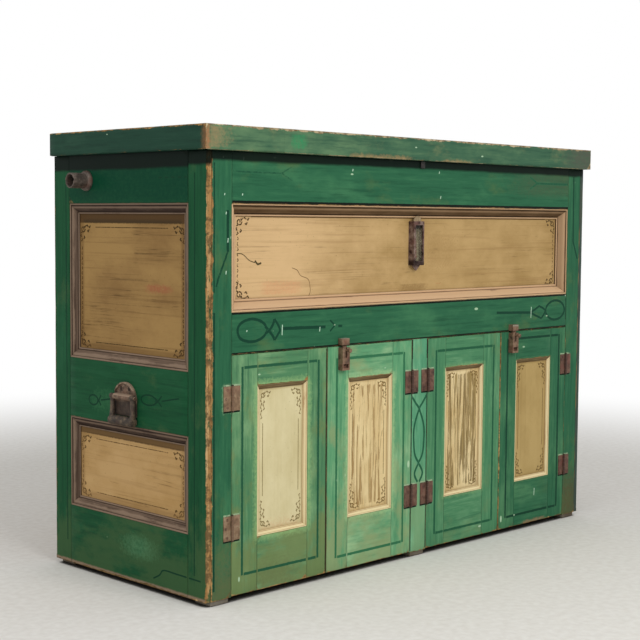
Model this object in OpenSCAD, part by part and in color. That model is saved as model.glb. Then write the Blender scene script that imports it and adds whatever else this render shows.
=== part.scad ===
// Creamery cabinet: a lidded, metal lined water tank over a cupboard with four panelled doors.
// Millimetres. X runs along the front to the right, Y to the back and Z up.
// The origin is the middle of the whole part's box, on the ground.

/* [Body] */
// Width of the carcass across the front
body_w = 1304; // [1000:1:1600]
// Depth of the carcass from front face to back face
body_d = 528; // [420:1:640]
// Height of the carcass top above the ground
body_top = 925; // [860:1:1000]
// Height of the foot blocks
foot_h = 10; // [6:1:20]
// Side of a square foot block
foot_w = 48; // [30:1:60]
// Thickness of the front frame boards
frame_t = 22; // [20:0.5:26]
// Thickness of the side frame boards
side_t = 22; // [20:0.5:26]
// Thickness of the back boards
back_t = 16; // [12:0.5:20]
// Thickness of the floor, deck and partition boards
shelf_t = 18; // [15:0.5:22]
// Number of back boards that the grooves mark out
back_count = 9; // [6:1:12]

/* [Front frame] */
// Width of the left and right stiles
stile_w = 67; // [55:1:80]
// Width of the centre stile between the two pairs of doors
centre_w = 56; // [52:1:70]
// Height of the top edge of the door openings
mid_rail_z0 = 513; // [480:1:540]
// Height of the top edge of the middle rail
mid_rail_z1 = 598; // [570:1:620]
// Height of the bottom edge of the top rail
top_rail_z0 = 820; // [780:1:840]
// Width of the moulding round the long panel
tank_mould_w = 26; // [18:0.5:32]

/* [Doors] */
// Thickness of a door
door_t = 20; // [18:0.5:20]
// Gap where two doors meet
meet_gap = 2; // [2:0.1:3]
// Gap between a door and its stile
hinge_gap = 1; // [1:0.1:2]
// Gap above a door
top_gap = 2; // [1.5:0.1:4]
// Height of the bottom edge of the doors
door_z0 = 12; // [11:0.5:16]
// Width of the opening for a door panel
door_panel_w = 146; // [110:1:160]
// Height of the bottom of a door panel opening
door_panel_z0 = 126; // [100:1:150]
// Height of the top of a door panel opening
door_panel_z1 = 438; // [410:1:445]
// How much nearer to its free edge door 1 has its panel
panel_1_shift = 6; // [0:1:10]
// How much higher the panel opening of door 1 reaches
panel_1_rise = 6; // [0:1:10]
// Width of the small moulding in a door
door_mould_w = 9.5; // [6:0.5:12]
// Depth of the panel face behind the door face
door_recess = 7; // [5:0.5:9]
// Thickness of the door and side panels
panel_t = 7; // [6:0.5:7]

/* [Side panels] */
// Distance from the front face to the side panel openings
side_y0 = 58; // [50:1:70]
// Distance from the front face to the back of the side panel openings
side_y1 = 470; // [400:1:480]
// Bottom of the lower side panel opening
low_z0 = 142; // [120:1:160]
// Top of the lower side panel opening
low_z1 = 345; // [320:1:360]
// Bottom of the upper side panel opening
up_z0 = 477; // [460:1:490]
// Top of the upper side panel opening
up_z1 = 820; // [800:1:830]
// Width of the moulding round a side panel
side_mould_w = 23; // [16:0.5:28]
// Depth of the side panel face behind the side face
side_recess = 13; // [10:0.5:14]

/* [Tank] */
// Sheet thickness of the tank lining
sheet_t = 2; // [1.5:0.1:3]
// Clearance between the lining and the boards round it
tank_gap = 4; // [3:0.5:8]
// Outside radius of the overflow pipe
pipe_r = 16.7; // [13:0.1:20]
// Bore radius of the overflow pipe
pipe_bore_r = 13.3; // [10:0.1:16]
// How far the pipe stands out of the left side
pipe_out = 45; // [30:1:80]
// Distance of the pipe from the front face
pipe_y = 404; // [300:1:440]
// Height of the pipe above the ground
pipe_z = 869; // [850:1:890]
// Radius of the round collar on the pipe
collar_r = 22.5; // [19:0.5:28]
// Thickness of the collar
collar_t = 9; // [4:0.5:14]

/* [Lid] */
// Thickness of the lid
lid_h = 51; // [40:1:60]
// Overhang of the lid at the front and at both ends
lid_over = 13; // [6:1:20]
// Width of the lid rim that rests on the carcass
lid_seat = 22; // [18:1:24]
// Thickness of the boards in the top of the lid
lid_board_t = 20; // [16:0.5:24]
// Gap between the closed lid and the carcass
lid_gap = 0.3; // [0.2:0.1:1]

/* [Ironwork] */
// Height of a door hinge
hinge_h = 51; // [40:1:64]
// Width of one hinge leaf from the pin
leaf_w = 22.5; // [18:0.5:26]
// Thickness of a hinge leaf
leaf_t = 2; // [1.5:0.1:3]
// Radius of a hinge knuckle
knuckle_r = 3.2; // [2.8:0.1:4]
// Radius of a hinge pin
pin_r = 1.5; // [1.2:0.1:2]
// Middle height of the upper hinges
hinge_up_z = 414; // [380:1:450]
// Middle height of the lower hinges
hinge_low_z = 146; // [90:1:180]
// How much higher door 1 has its hinges
hinge_1_rise = 9; // [0:1:12]
// Width of a bolt case
case_w = 23; // [18:0.5:28]
// Height of a bolt case
case_h = 50; // [40:1:60]
// Depth of a bolt case
case_d = 13.5; // [12:0.5:16]
// Distance from the meeting edge of the door to the bolt case
case_off = 32; // [20:1:60]
// Radius of the bolt knob
knob_r = 5; // [4:0.1:7]
// Width of a lifting handle plate
plate_w = 76; // [64:1:90]
// Thickness of a lifting handle plate
plate_t = 3; // [2.5:0.5:4]
// How far the raised rim of its arch stands out
rim_out = 7; // [5:0.5:8]
// Height of the handle pivot above the ground
handle_z = 407; // [380:1:430]
// Drop from the pivot to the middle of the hand grip
grip_drop = 51; // [46:1:60]
// Radius of the hand grip
grip_r = 10.5; // [8:0.5:11]

/* [Thermometer] */
// Left edge of the thermometer case from the left face
therm_x = 632; // [560:1:700]
// Width of the thermometer case
therm_w = 36; // [30:1:44]
// Height of the bottom of the case
therm_z = 684; // [660:1:700]
// Height of the case
therm_h = 102; // [80:1:110]
// Depth of the case
therm_d = 17; // [14:0.5:20]

/* [Hidden] */
green = "#3f7a55";
deep_green = "#24573a";
buff = "#b79a6c";
mauve = "#6f5348";
bare_wood = "#9a7a55";
rust = "#5f4334";
zinc = "#9aa1a3";
tin = "#4f3c3c";
glass_tone = "#c7d3cf";
$fn = 48;
eps = 1;

// Derived places on the front
centre_x0 = (body_w - centre_w) / 2;
centre_x1 = (body_w + centre_w) / 2;
pair_w = centre_x0 - stile_w;
door_w = (pair_w - meet_gap) / 2 - hinge_gap;
door_z1 = mid_rail_z0 - top_gap;
door_1_x = stile_w + hinge_gap;
door_2_x = centre_x0 - hinge_gap - door_w;
door_3_x = centre_x1 + hinge_gap;
door_4_x = body_w - stile_w - hinge_gap - door_w;
inner_w = body_w - 2 * side_t;
inner_y0 = frame_t;
inner_y1 = body_d - back_t;
deck_z = 519;
tank_z0 = deck_z + shelf_t;
tank_z1 = body_top - 5;
cleat_h = 22;
cleat_w = 20;
foot_in = 14;
foot_back = 3;
board_groove = 4;
lid_groove = 3;
flange_out = 3;
flange_h = 10;

// Radius of the pipe behind its collar, so that the free end is a spigot with a shoulder
tail_r = pipe_r - 0.2;
tail_len = 46;
nut_r = pipe_r + 7;
nut_t = 9;

// Derived ironwork
axis_y = -knuckle_r - 0.2;
axis_1_x = stile_w + hinge_gap / 2;
axis_2_x = centre_x0 - hinge_gap / 2;
axis_3_x = centre_x1 + hinge_gap / 2;
axis_4_x = body_w - stile_w - hinge_gap / 2;
bore_r = pin_r + 0.1;
relief = knuckle_r + 0.4;
seg_h = hinge_h / 5;
case_z1 = door_z1 - 2.5;
case_z0 = case_z1 - case_h;
bolt_w = 11;
bolt_d = 7;
bolt_y = -6.5;
bolt_top = mid_rail_z0 - 0.5;
bolt_len = 33.5;
knob_z = case_z1 - 6;
knob_front = case_d + 14.5;
keeper_z0 = mid_rail_z0 + 1;
keeper_h = 15;
lid_axis_y = body_d + 5.3;
lid_knuckle_r = 5;
lid_leaf_w = 60;
lid_leaf_t = 3;
lid_axis_z = body_top;
bail_pin_r = 2.5;
barrel_r = 6.5;
bail_eye_r = 6;
bail_axis_out = plate_t + bail_eye_r + 0.5;
bail_w = plate_w + 6;
bail_eye = 11.5;
bail_arm_w = 11;
grip_out = grip_r + 0.5;
handle_y = body_d / 2;
dome_z = handle_z - 6;
plate_z0 = handle_z - 41;
rim_w = 4;
plate_screw_r = 4;
plate_screw_y = 14;
plate_screw_up = 24;

// Derived thermometer
therm_x1 = therm_x + therm_w;
therm_z1 = therm_z + therm_h;
therm_mid = therm_x + therm_w / 2;
therm_y0 = frame_t - therm_d;
window_left = 11.5;
window_right = 14.5;
scale_half_w = 14;
tab_r = 13;
tab_h = 12;
tab_t = 3;
point_half_w = 14;
point_h = 13;

// Box of the whole part, for the origin
box_x0 = -pipe_out;
box_x1 = body_w + grip_out + grip_r;
box_y0 = -knob_front;
box_y1 = lid_axis_y + lid_knuckle_r;
home = [-(box_x0 + box_x1) / 2, -(box_y0 + box_y1) / 2, 0];

// A box from its low corner and its high corner
module span(a, b) {
  translate(a)
    cube([b[0] - a[0], b[1] - a[1], b[2] - a[2]]);
}

// Half of a moulding section: inset from the opening and depth, from the outer edge inward
function stretched(sec, w, d) = [for (p = sec) [p[0] * w, p[1] * d]];
function tank_section() = stretched(
  [[0, 1], [4, 1], [5, 3], [9, 5], [15, 11], [20, 17], [21.5, 19], [26, 19]],
  tank_mould_w / 26, frame_t / 22);
function side_section() = stretched(
  [[0, 1], [4, 1], [5, 3], [12, 6], [18, 9], [19.5, 11], [23, 11]],
  side_mould_w / 23, side_recess / 13);
function door_section() = stretched(
  [[0, 0.5], [2, 0.5], [2.6, 1.5], [8, 5.5], [9.5, 5.5]],
  door_mould_w / 9.5, door_recess / 7);

// Outline of the clear space in front of a moulding, w wide at the face
function pit_outline(w, sec, deep) = concat(
  [[-w / 2, -eps]],
  [for (p = sec) [-w / 2 + p[0], p[1]]],
  [[-w / 2 + sec[len(sec) - 1][0], deep + eps]],
  [[w / 2 - sec[len(sec) - 1][0], deep + eps]],
  [for (i = [len(sec) - 1 : -1 : 0]) [w / 2 - sec[i][0], sec[i][1]]],
  [[w / 2, -eps]]
);

// A mitred moulding in an opening w wide and h high, centred, its face at y = 0
module moulding_ring(w, h, sec, deep) {
  difference() {
    translate([-w / 2, 0, -h / 2])
      cube([w, deep, h]);
    intersection() {
      translate([0, 0, -h / 2 - eps])
        linear_extrude(height = h + 2 * eps)
          polygon(pit_outline(w, sec, deep));
      translate([-w / 2 - eps, 0, 0])
        rotate([90, 0, 90])
          linear_extrude(height = w + 2 * eps)
            polygon([for (p = pit_outline(h, sec, deep)) [p[1], p[0]]]);
    }
  }
}

// Front frame
module front_left_stile() {
  color(green)
    translate(home)
      span([0, 0, foot_h], [stile_w, frame_t, body_top]);
}

module front_right_stile() {
  color(green)
    translate(home)
      span([body_w - stile_w, 0, foot_h], [body_w, frame_t, body_top]);
}

module front_centre_stile() {
  color(green)
    translate(home)
      span([centre_x0, 0, foot_h], [centre_x1, frame_t, mid_rail_z0]);
}

module front_top_rail() {
  color(green)
    translate(home)
      span([stile_w, 0, top_rail_z0], [body_w - stile_w, frame_t, body_top]);
}

module front_mid_rail() {
  color(green)
    translate(home)
      span([stile_w, 0, mid_rail_z0], [body_w - stile_w, frame_t, mid_rail_z1]);
}

module tank_front_panel() {
  color(buff)
    translate(home)
      span([stile_w - 10, frame_t, mid_rail_z1 - 10],
           [body_w - stile_w + 10, frame_t + 8, top_rail_z0 + 10]);
}

module tank_front_moulding() {
  color(mauve)
    translate(home + [body_w / 2, 0, (mid_rail_z1 + top_rail_z0) / 2])
      moulding_ring(body_w - 2 * stile_w, top_rail_z0 - mid_rail_z1, tank_section(), frame_t);
}

// Side frames, panels and mouldings, drawn for the left and mirrored for the right
module side_frame(with_pipe) {
  difference() {
    span([0, frame_t, foot_h], [side_t, body_d, body_top]);
    span([-eps, side_y0, low_z0], [side_t + eps, side_y1, low_z1]);
    span([-eps, side_y0, up_z0], [side_t + eps, side_y1, up_z1]);
    if (with_pipe)
      translate([-eps, pipe_y, pipe_z])
        rotate([0, 90, 0])
          cylinder(r = pipe_r + 0.5, h = side_t + 2 * eps);
  }
}

module side_panels() {
  span([side_recess, side_y0, low_z0], [side_recess + panel_t, side_y1, low_z1]);
  span([side_recess, side_y0, up_z0], [side_recess + panel_t, side_y1, up_z1]);
}

module side_mouldings() {
  translate([0, (side_y0 + side_y1) / 2, (low_z0 + low_z1) / 2])
    rotate([0, 0, -90])
      moulding_ring(side_y1 - side_y0, low_z1 - low_z0, side_section(), side_recess);
  translate([0, (side_y0 + side_y1) / 2, (up_z0 + up_z1) / 2])
    rotate([0, 0, -90])
      moulding_ring(side_y1 - side_y0, up_z1 - up_z0, side_section(), side_recess);
}

module to_right() {
  translate([body_w, 0, 0])
    mirror([1, 0, 0])
      children();
}

module left_side_frame() {
  color(deep_green)
    translate(home)
      side_frame(true);
}

module left_side_panels() {
  color(buff)
    translate(home)
      side_panels();
}

module left_side_mouldings() {
  color(mauve)
    translate(home)
      side_mouldings();
}

module right_side_frame() {
  color(deep_green)
    translate(home)
      to_right()
        side_frame(false);
}

module right_side_panels() {
  color(buff)
    translate(home)
      to_right()
        side_panels();
}

module right_side_mouldings() {
  color(mauve)
    translate(home)
      to_right()
        side_mouldings();
}

// Back, floor and inner boards
module back_boards() {
  board = inner_w / back_count;
  color(bare_wood)
    translate(home)
      difference() {
        span([side_t, inner_y1, foot_h], [body_w - side_t, body_d, body_top]);
        for (i = [1 : back_count - 1])
          translate([side_t + i * board, body_d, foot_h - eps])
            rotate([0, 0, 45])
              cube([board_groove, board_groove, 2 * body_top], center = true);
      }
}

module floor_boards() {
  color(bare_wood)
    translate(home)
      span([side_t, inner_y0, foot_h], [body_w - side_t, inner_y1, foot_h + shelf_t]);
}

module feet() {
  color("#5d5c58")
    translate(home)
      for (x = [foot_in, (body_w - foot_w) / 2, body_w - foot_in - foot_w])
        for (y = [foot_back, body_d - foot_back - foot_w])
          translate([x, y, 0])
            cube([foot_w, foot_w, foot_h]);
}

module tank_deck() {
  color(bare_wood)
    translate(home)
      span([side_t, inner_y0, deck_z], [body_w - side_t, inner_y1, tank_z0]);
}

module deck_cleats() {
  color(bare_wood)
    translate(home) {
      span([side_t, inner_y0, deck_z - cleat_h], [side_t + cleat_w, inner_y1, deck_z]);
      span([body_w - side_t - cleat_w, inner_y0, deck_z - cleat_h], [body_w - side_t, inner_y1, deck_z]);
    }
}

module cupboard_partition() {
  mid = body_w / 2;
  color(bare_wood)
    translate(home)
      span([mid - shelf_t / 2, inner_y0, foot_h + shelf_t], [mid + shelf_t / 2, inner_y1, deck_z]);
}

// Tank lining, pipe and collar
module tank_liner() {
  x0 = side_t + tank_gap;
  x1 = body_w - x0;
  y0 = frame_t + 8 + tank_gap;
  y1 = inner_y1 - tank_gap;
  color(zinc)
    translate(home)
      difference() {
        union() {
          span([x0, y0, tank_z0], [x1, y1, tank_z1]);
          span([x0 - flange_out, y0 - flange_out, tank_z1 - flange_h],
               [x1 + flange_out, y1 + flange_out, tank_z1]);
        }
        span([x0 + sheet_t, y0 + sheet_t, tank_z0 + sheet_t],
             [x1 - sheet_t, y1 - sheet_t, tank_z1 + eps]);
        translate([x0 - eps, pipe_y, pipe_z])
          rotate([0, 90, 0])
            cylinder(r = tail_r + 0.1, h = sheet_t + 2 * eps);
      }
}

module overflow_pipe() {
  color(rust)
    translate(home + [0, pipe_y, pipe_z])
      rotate([0, 90, 0])
        difference() {
          union() {
            translate([0, 0, -pipe_out])
              cylinder(r = pipe_r, h = pipe_out - collar_t);
            translate([0, 0, -collar_t - eps])
              cylinder(r = tail_r, h = collar_t + eps + tail_len);
            translate([0, 0, side_t + tank_gap + sheet_t])
              cylinder(r = nut_r, h = nut_t, $fn = 6);
          }
          translate([0, 0, -pipe_out - eps])
            cylinder(r = pipe_bore_r, h = pipe_out + tail_len + 2 * eps);
        }
}

module pipe_collar() {
  color(rust)
    translate(home + [0, pipe_y, pipe_z])
      rotate([0, -90, 0])
        difference() {
          cylinder(r = collar_r, h = collar_t);
          translate([0, 0, -eps])
            cylinder(r = tail_r + 0.05, h = collar_t + 2 * eps);
        }
}

// Lifting handles
module handle_plate() {
  fixed_w = bail_w - 2 * bail_eye - 1;
  translate([0, handle_y, 0]) {
    intersection() {
      translate([-plate_t, 0, dome_z])
        rotate([0, 90, 0])
          cylinder(r = plate_w / 2, h = plate_t);
      span([-plate_t - eps, -plate_w, plate_z0], [eps, plate_w, dome_z + plate_w]);
    }
    span([-plate_t, -plate_w / 2, plate_z0], [0, plate_w / 2, dome_z]);
    intersection() {
      translate([-rim_out, 0, dome_z])
        rotate([0, 90, 0])
          difference() {
            cylinder(r = plate_w / 2, h = rim_out);
            translate([0, 0, -eps])
              cylinder(r = plate_w / 2 - rim_w, h = rim_out + 2 * eps);
          }
      span([-rim_out - eps, -plate_w, handle_z + bail_eye_r + 0.5], [eps, plate_w, dome_z + plate_w]);
    }
    translate([-bail_axis_out, -fixed_w / 2, handle_z])
      rotate([-90, 0, 0])
        cylinder(r = barrel_r, h = fixed_w);
    span([-bail_axis_out, -fixed_w / 2, handle_z - barrel_r],
         [-plate_t + 0.5, fixed_w / 2, handle_z + barrel_r]);
    translate([-bail_axis_out, -bail_w / 2 - 2, handle_z])
      rotate([-90, 0, 0])
        cylinder(r = bail_pin_r, h = bail_w + 4);
    for (s = [-1, 1])
      translate([-bail_axis_out, s * (bail_w / 2 + 1.3), handle_z])
        rotate([90, 0, 0])
          cylinder(r = 4, h = 2, center = true);
    for (s = [-1, 1])
      translate([-plate_t - 1.6, s * plate_screw_y, dome_z + plate_screw_up])
        rotate([0, 90, 0])
          cylinder(r = plate_screw_r, h = 2);
  }
}

module handle_bail() {
  translate([0, handle_y, 0])
    difference() {
      union() {
        for (s = [-1, 1]) {
          translate([-bail_axis_out, s * (bail_w - bail_eye) / 2, handle_z])
            rotate([90, 0, 0])
              cylinder(r = bail_eye_r, h = bail_eye, center = true);
          translate([-bail_axis_out, s * (bail_w - bail_arm_w) / 2, handle_z - grip_drop / 2])
            cube([8, bail_arm_w, grip_drop], center = true);
        }
        translate([-grip_out, -bail_w / 2, handle_z - grip_drop])
          rotate([-90, 0, 0])
            cylinder(r = grip_r, h = bail_w);
      }
      translate([-bail_axis_out, -bail_w, handle_z])
        rotate([-90, 0, 0])
          cylinder(r = bail_pin_r + 0.1, h = 2 * bail_w);
    }
}

module left_handle_plate() {
  color(rust)
    translate(home)
      handle_plate();
}

module left_handle_bail() {
  color(rust)
    translate(home)
      handle_bail();
}

module right_handle_plate() {
  color(rust)
    translate(home)
      to_right()
        handle_plate();
}

module right_handle_bail() {
  color(rust)
    translate(home)
      to_right()
        handle_bail();
}

// One hinge leaf on the side that dir points to, with the knuckles listed in segs
module hinge_leaf(ax, zc, dir, segs) {
  far = ax + dir * leaf_w;
  near = ax + dir * relief;
  difference() {
    union() {
      span([min(near, far), -leaf_t, zc - hinge_h / 2], [max(near, far), 0, zc + hinge_h / 2]);
      for (k = segs) {
        span([min(ax, near), -leaf_t, zc - hinge_h / 2 + k * seg_h + 0.15],
             [max(ax, near), -0.2, zc - hinge_h / 2 + (k + 1) * seg_h - 0.15]);
        translate([ax, axis_y, zc - hinge_h / 2 + k * seg_h + 0.15])
          cylinder(r = knuckle_r, h = seg_h - 0.3);
      }
      for (v = [-1, 0, 1])
        translate([ax + dir * (leaf_w - 6 - 4 * abs(v)), -leaf_t - 0.7, zc + v * hinge_h * 0.36])
          rotate([-90, 0, 0])
            cylinder(r = 3, h = 0.9);
    }
    translate([ax, axis_y, zc - hinge_h])
      cylinder(r = bore_r, h = 2 * hinge_h);
  }
}

module door_hinge_frame_leaves() {
  color(rust)
    translate(home)
      for (z = [hinge_low_z, hinge_up_z]) {
        hinge_leaf(axis_1_x, z + hinge_1_rise, -1, [0, 2, 4]);
        hinge_leaf(axis_2_x, z, 1, [0, 2, 4]);
        hinge_leaf(axis_3_x, z, -1, [0, 2, 4]);
        hinge_leaf(axis_4_x, z, 1, [0, 2, 4]);
      }
}

module door_hinge_pins() {
  color(rust)
    translate(home)
      for (x = [axis_1_x, axis_2_x, axis_3_x, axis_4_x])
        for (z = [hinge_low_z, hinge_up_z])
          translate([x, axis_y, z + (x == axis_1_x ? hinge_1_rise : 0)]) {
            cylinder(r = pin_r, h = hinge_h + 2, center = true);
            for (s = [-1, 1])
              translate([0, 0, s * (hinge_h / 2 + 1.75)])
                cylinder(r = pin_r + 0.9, h = 2.9, center = true);
          }
}

// Bolt cases, bolts and keepers
module latch_case(x) {
  mid = x + case_w / 2;
  difference() {
    span([x, -case_d, case_z0], [x + case_w, 0, case_z1]);
    span([mid - bolt_w / 2 - 0.2, bolt_y - bolt_d / 2 - 0.2, case_z0 + 10],
         [mid + bolt_w / 2 + 0.2, bolt_y + bolt_d / 2 + 0.2, case_z1 + eps]);
    span([mid - 2.6, -case_d - eps, case_z1 - 22], [mid + 2.6, bolt_y, case_z1 + eps]);
    span([x + 3, -case_d - eps, case_z0 + 5], [x + 19, -case_d + 6, case_z0 + 14]);
  }
}

module bolt(x) {
  mid = x + case_w / 2;
  translate([mid, 0, 0]) {
    span([-bolt_w / 2, bolt_y - bolt_d / 2, bolt_top - bolt_len],
         [bolt_w / 2, bolt_y + bolt_d / 2, bolt_top]);
    translate([0, bolt_y, knob_z])
      rotate([90, 0, 0])
        cylinder(r = 2.2, h = knob_front + bolt_y - 5);
    translate([0, -knob_front, knob_z])
      rotate([-90, 0, 0])
        cylinder(r = knob_r, h = 7);
  }
}

module keeper(x) {
  mid = x + case_w / 2;
  difference() {
    span([x - 1, -case_d, keeper_z0], [x + case_w - 1, 0, keeper_z0 + keeper_h]);
    span([mid - bolt_w / 2 - 0.7, bolt_y - bolt_d / 2 - 0.7, keeper_z0 - eps],
         [mid + bolt_w / 2 + 0.7, bolt_y + bolt_d / 2 + 0.7, keeper_z0 + 8]);
  }
}

module latch_keepers() {
  color(rust)
    translate(home) {
      keeper(door_2_x + case_off);
      keeper(door_4_x + case_off);
    }
}

module door_2_latch_case() {
  color(rust)
    translate(home)
      latch_case(door_2_x + case_off);
}

module door_2_bolt() {
  color(rust)
    translate(home)
      bolt(door_2_x + case_off);
}

module door_4_latch_case() {
  color(rust)
    translate(home)
      latch_case(door_4_x + case_off);
}

module door_4_bolt() {
  color(rust)
    translate(home)
      bolt(door_4_x + case_off);
}

module lid_catch_plate() {
  color(rust)
    translate(home)
      span([body_w / 2 - 7, -3, body_top - 17], [body_w / 2 + 7, 0, body_top - 1]);
}

// Lid and its hinges
module lid_rim() {
  z0 = body_top + lid_gap;
  z1 = body_top + lid_h;
  color(deep_green)
    translate(home)
      difference() {
        span([-lid_over, -lid_over, z0], [body_w + lid_over, body_d, z1]);
        span([lid_seat, lid_seat, z0 - eps], [body_w - lid_seat, body_d - lid_seat, z1 + eps]);
      }
}

module lid_boards() {
  z1 = body_top + lid_h;
  color(deep_green)
    translate(home)
      difference() {
        span([lid_seat, lid_seat, z1 - lid_board_t], [body_w - lid_seat, body_d - lid_seat, z1]);
        for (k = [1 : 3])
          translate([body_w / 2, lid_seat + k * (body_d - 2 * lid_seat) / 4, z1])
            rotate([45, 0, 0])
              cube([2 * body_w, lid_groove, lid_groove], center = true);
      }
}

module lid_lining() {
  z1 = body_top + lid_h - lid_board_t;
  color(zinc)
    translate(home)
      span([lid_seat, lid_seat, z1 - sheet_t], [body_w - lid_seat, body_d - lid_seat, z1]);
}

module lid_leaf(xc, dir, segs) {
  near = lid_axis_z + dir * (lid_knuckle_r + 0.5);
  far = lid_axis_z + dir * 44;
  seg = lid_leaf_w / 5;
  difference() {
    union() {
      span([xc - lid_leaf_w / 2, body_d, min(near, far)],
           [xc + lid_leaf_w / 2, body_d + lid_leaf_t, max(near, far)]);
      for (k = segs) {
        span([xc - lid_leaf_w / 2 + k * seg + 0.2, body_d + 0.3, min(near, lid_axis_z)],
             [xc - lid_leaf_w / 2 + (k + 1) * seg - 0.2, body_d + lid_leaf_t, max(near, lid_axis_z)]);
        translate([xc - lid_leaf_w / 2 + k * seg + 0.2, lid_axis_y, lid_axis_z])
          rotate([0, 90, 0])
            cylinder(r = lid_knuckle_r, h = seg - 0.4);
      }
      for (v = [-1, 1])
        translate([xc + v * 18, body_d + 1, lid_axis_z + dir * 32])
          rotate([-90, 0, 0])
            cylinder(r = 4, h = 3);
    }
    translate([xc - lid_leaf_w, lid_axis_y, lid_axis_z])
      rotate([0, 90, 0])
        cylinder(r = 2.6, h = 2 * lid_leaf_w);
  }
}

module lid_hinge_body_leaves() {
  color(rust)
    translate(home)
      for (x = [180, body_w / 2, body_w - 180]) {
        lid_leaf(x, -1, [0, 2, 4]);
        translate([x - lid_leaf_w / 2 - 0.5, lid_axis_y, lid_axis_z])
          rotate([0, 90, 0])
            cylinder(r = 2.5, h = lid_leaf_w + 1);
        for (k = [0, 2, 4])
          translate([x - lid_leaf_w / 2 + (k + 0.5) * lid_leaf_w / 5, lid_axis_y, lid_axis_z])
            rotate([0, 90, 0])
              cylinder(r = 3, h = 8, center = true);
      }
}

module lid_hinge_lid_leaves() {
  color(rust)
    translate(home)
      for (x = [180, body_w / 2, body_w - 180])
        lid_leaf(x, 1, [1, 3]);
}

// Thermometer in its tin case on the long panel
module thermometer_case() {
  color(tin)
    translate(home) {
      difference() {
        span([therm_x, therm_y0, therm_z], [therm_x1, frame_t, therm_z1]);
        span([therm_x + 3, therm_y0 + 3.5, therm_z + 4], [therm_x1 - 3, frame_t - 1.5, therm_z1 - 4]);
        span([therm_mid - window_left, therm_y0 - eps, therm_z + 10],
             [therm_mid + window_right, therm_y0 + 4, therm_z1 - 9]);
      }
      translate([therm_mid, frame_t - 12, therm_z1])
        intersection() {
          rotate([-90, 0, 0])
            cylinder(r = tab_r, h = tab_t);
          translate([-tab_r, 0, 0])
            cube([2 * tab_r, tab_t, tab_h]);
        }
      translate([therm_mid, frame_t - 6, therm_z])
        rotate([90, 0, 0])
          linear_extrude(height = tab_t)
            polygon([[-point_half_w, 0], [point_half_w, 0], [0, -point_h]]);
    }
}

module thermometer_glass() {
  color(glass_tone)
    translate(home)
      span([therm_mid - scale_half_w, therm_y0 + 3.5, therm_z + 6],
           [therm_mid + scale_half_w, therm_y0 + 5, therm_z1 - 5]);
}

module thermometer_scale() {
  color("#8b8468")
    translate(home)
      span([therm_mid - scale_half_w, frame_t - 3.5, therm_z + 5],
           [therm_mid + scale_half_w, frame_t - 1.5, therm_z1 - 5]);
}

module thermometer_tube() {
  color(glass_tone)
    translate(home + [therm_mid, frame_t - 6.5, therm_z + 20]) {
      cylinder(r = 1.6, h = 70);
      sphere(r = 3);
      translate([0, 1, 2])
        span([-5, 0, 8], [5, 2, 11]);
      translate([0, 1, 2])
        span([-5, 0, 55], [5, 2, 58]);
    }
}

// Doors, each drawn from its left edge, with the panel opening moved by shift and up to rise higher
module door_frame(x, shift = 0, rise = 0) {
  mid = x + door_w / 2 + shift;
  difference() {
    span([x, 0, door_z0], [x + door_w, door_t, door_z1]);
    span([mid - door_panel_w / 2, -eps, door_panel_z0],
         [mid + door_panel_w / 2, door_t + eps, door_panel_z1 + rise]);
  }
}

module door_panel(x, shift = 0, rise = 0) {
  mid = x + door_w / 2 + shift;
  span([mid - door_panel_w / 2, door_recess, door_panel_z0],
       [mid + door_panel_w / 2, door_recess + panel_t, door_panel_z1 + rise]);
}

module door_moulding(x, shift = 0, rise = 0) {
  translate([x + door_w / 2 + shift, 0, (door_panel_z0 + door_panel_z1 + rise) / 2])
    moulding_ring(door_panel_w, door_panel_z1 + rise - door_panel_z0, door_section(), door_recess);
}

module door_leaves(ax, dir, rise = 0) {
  hinge_leaf(ax, hinge_low_z + rise, dir, [1, 3]);
  hinge_leaf(ax, hinge_up_z + rise, dir, [1, 3]);
}

module door_1_frame() {
  color(green)
    translate(home)
      door_frame(door_1_x, panel_1_shift, panel_1_rise);
}

module door_1_panel() {
  color(buff)
    translate(home)
      door_panel(door_1_x, panel_1_shift, panel_1_rise);
}

module door_1_moulding() {
  color(buff)
    translate(home)
      door_moulding(door_1_x, panel_1_shift, panel_1_rise);
}

module door_1_hinge_leaves() {
  color(rust)
    translate(home)
      door_leaves(axis_1_x, 1, hinge_1_rise);
}

module door_2_frame() {
  color(green)
    translate(home)
      door_frame(door_2_x);
}

module door_2_panel() {
  color(buff)
    translate(home)
      door_panel(door_2_x);
}

module door_2_moulding() {
  color(buff)
    translate(home)
      door_moulding(door_2_x);
}

module door_2_hinge_leaves() {
  color(rust)
    translate(home)
      door_leaves(axis_2_x, -1);
}

module door_3_frame() {
  color(green)
    translate(home)
      door_frame(door_3_x);
}

module door_3_panel() {
  color(buff)
    translate(home)
      door_panel(door_3_x);
}

module door_3_moulding() {
  color(buff)
    translate(home)
      door_moulding(door_3_x);
}

module door_3_hinge_leaves() {
  color(rust)
    translate(home)
      door_leaves(axis_3_x, 1);
}

module door_4_frame() {
  color(green)
    translate(home)
      door_frame(door_4_x);
}

module door_4_panel() {
  color(buff)
    translate(home)
      door_panel(door_4_x);
}

module door_4_moulding() {
  color(buff)
    translate(home)
      door_moulding(door_4_x);
}

module door_4_hinge_leaves() {
  color(rust)
    translate(home)
      door_leaves(axis_4_x, -1);
}

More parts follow.
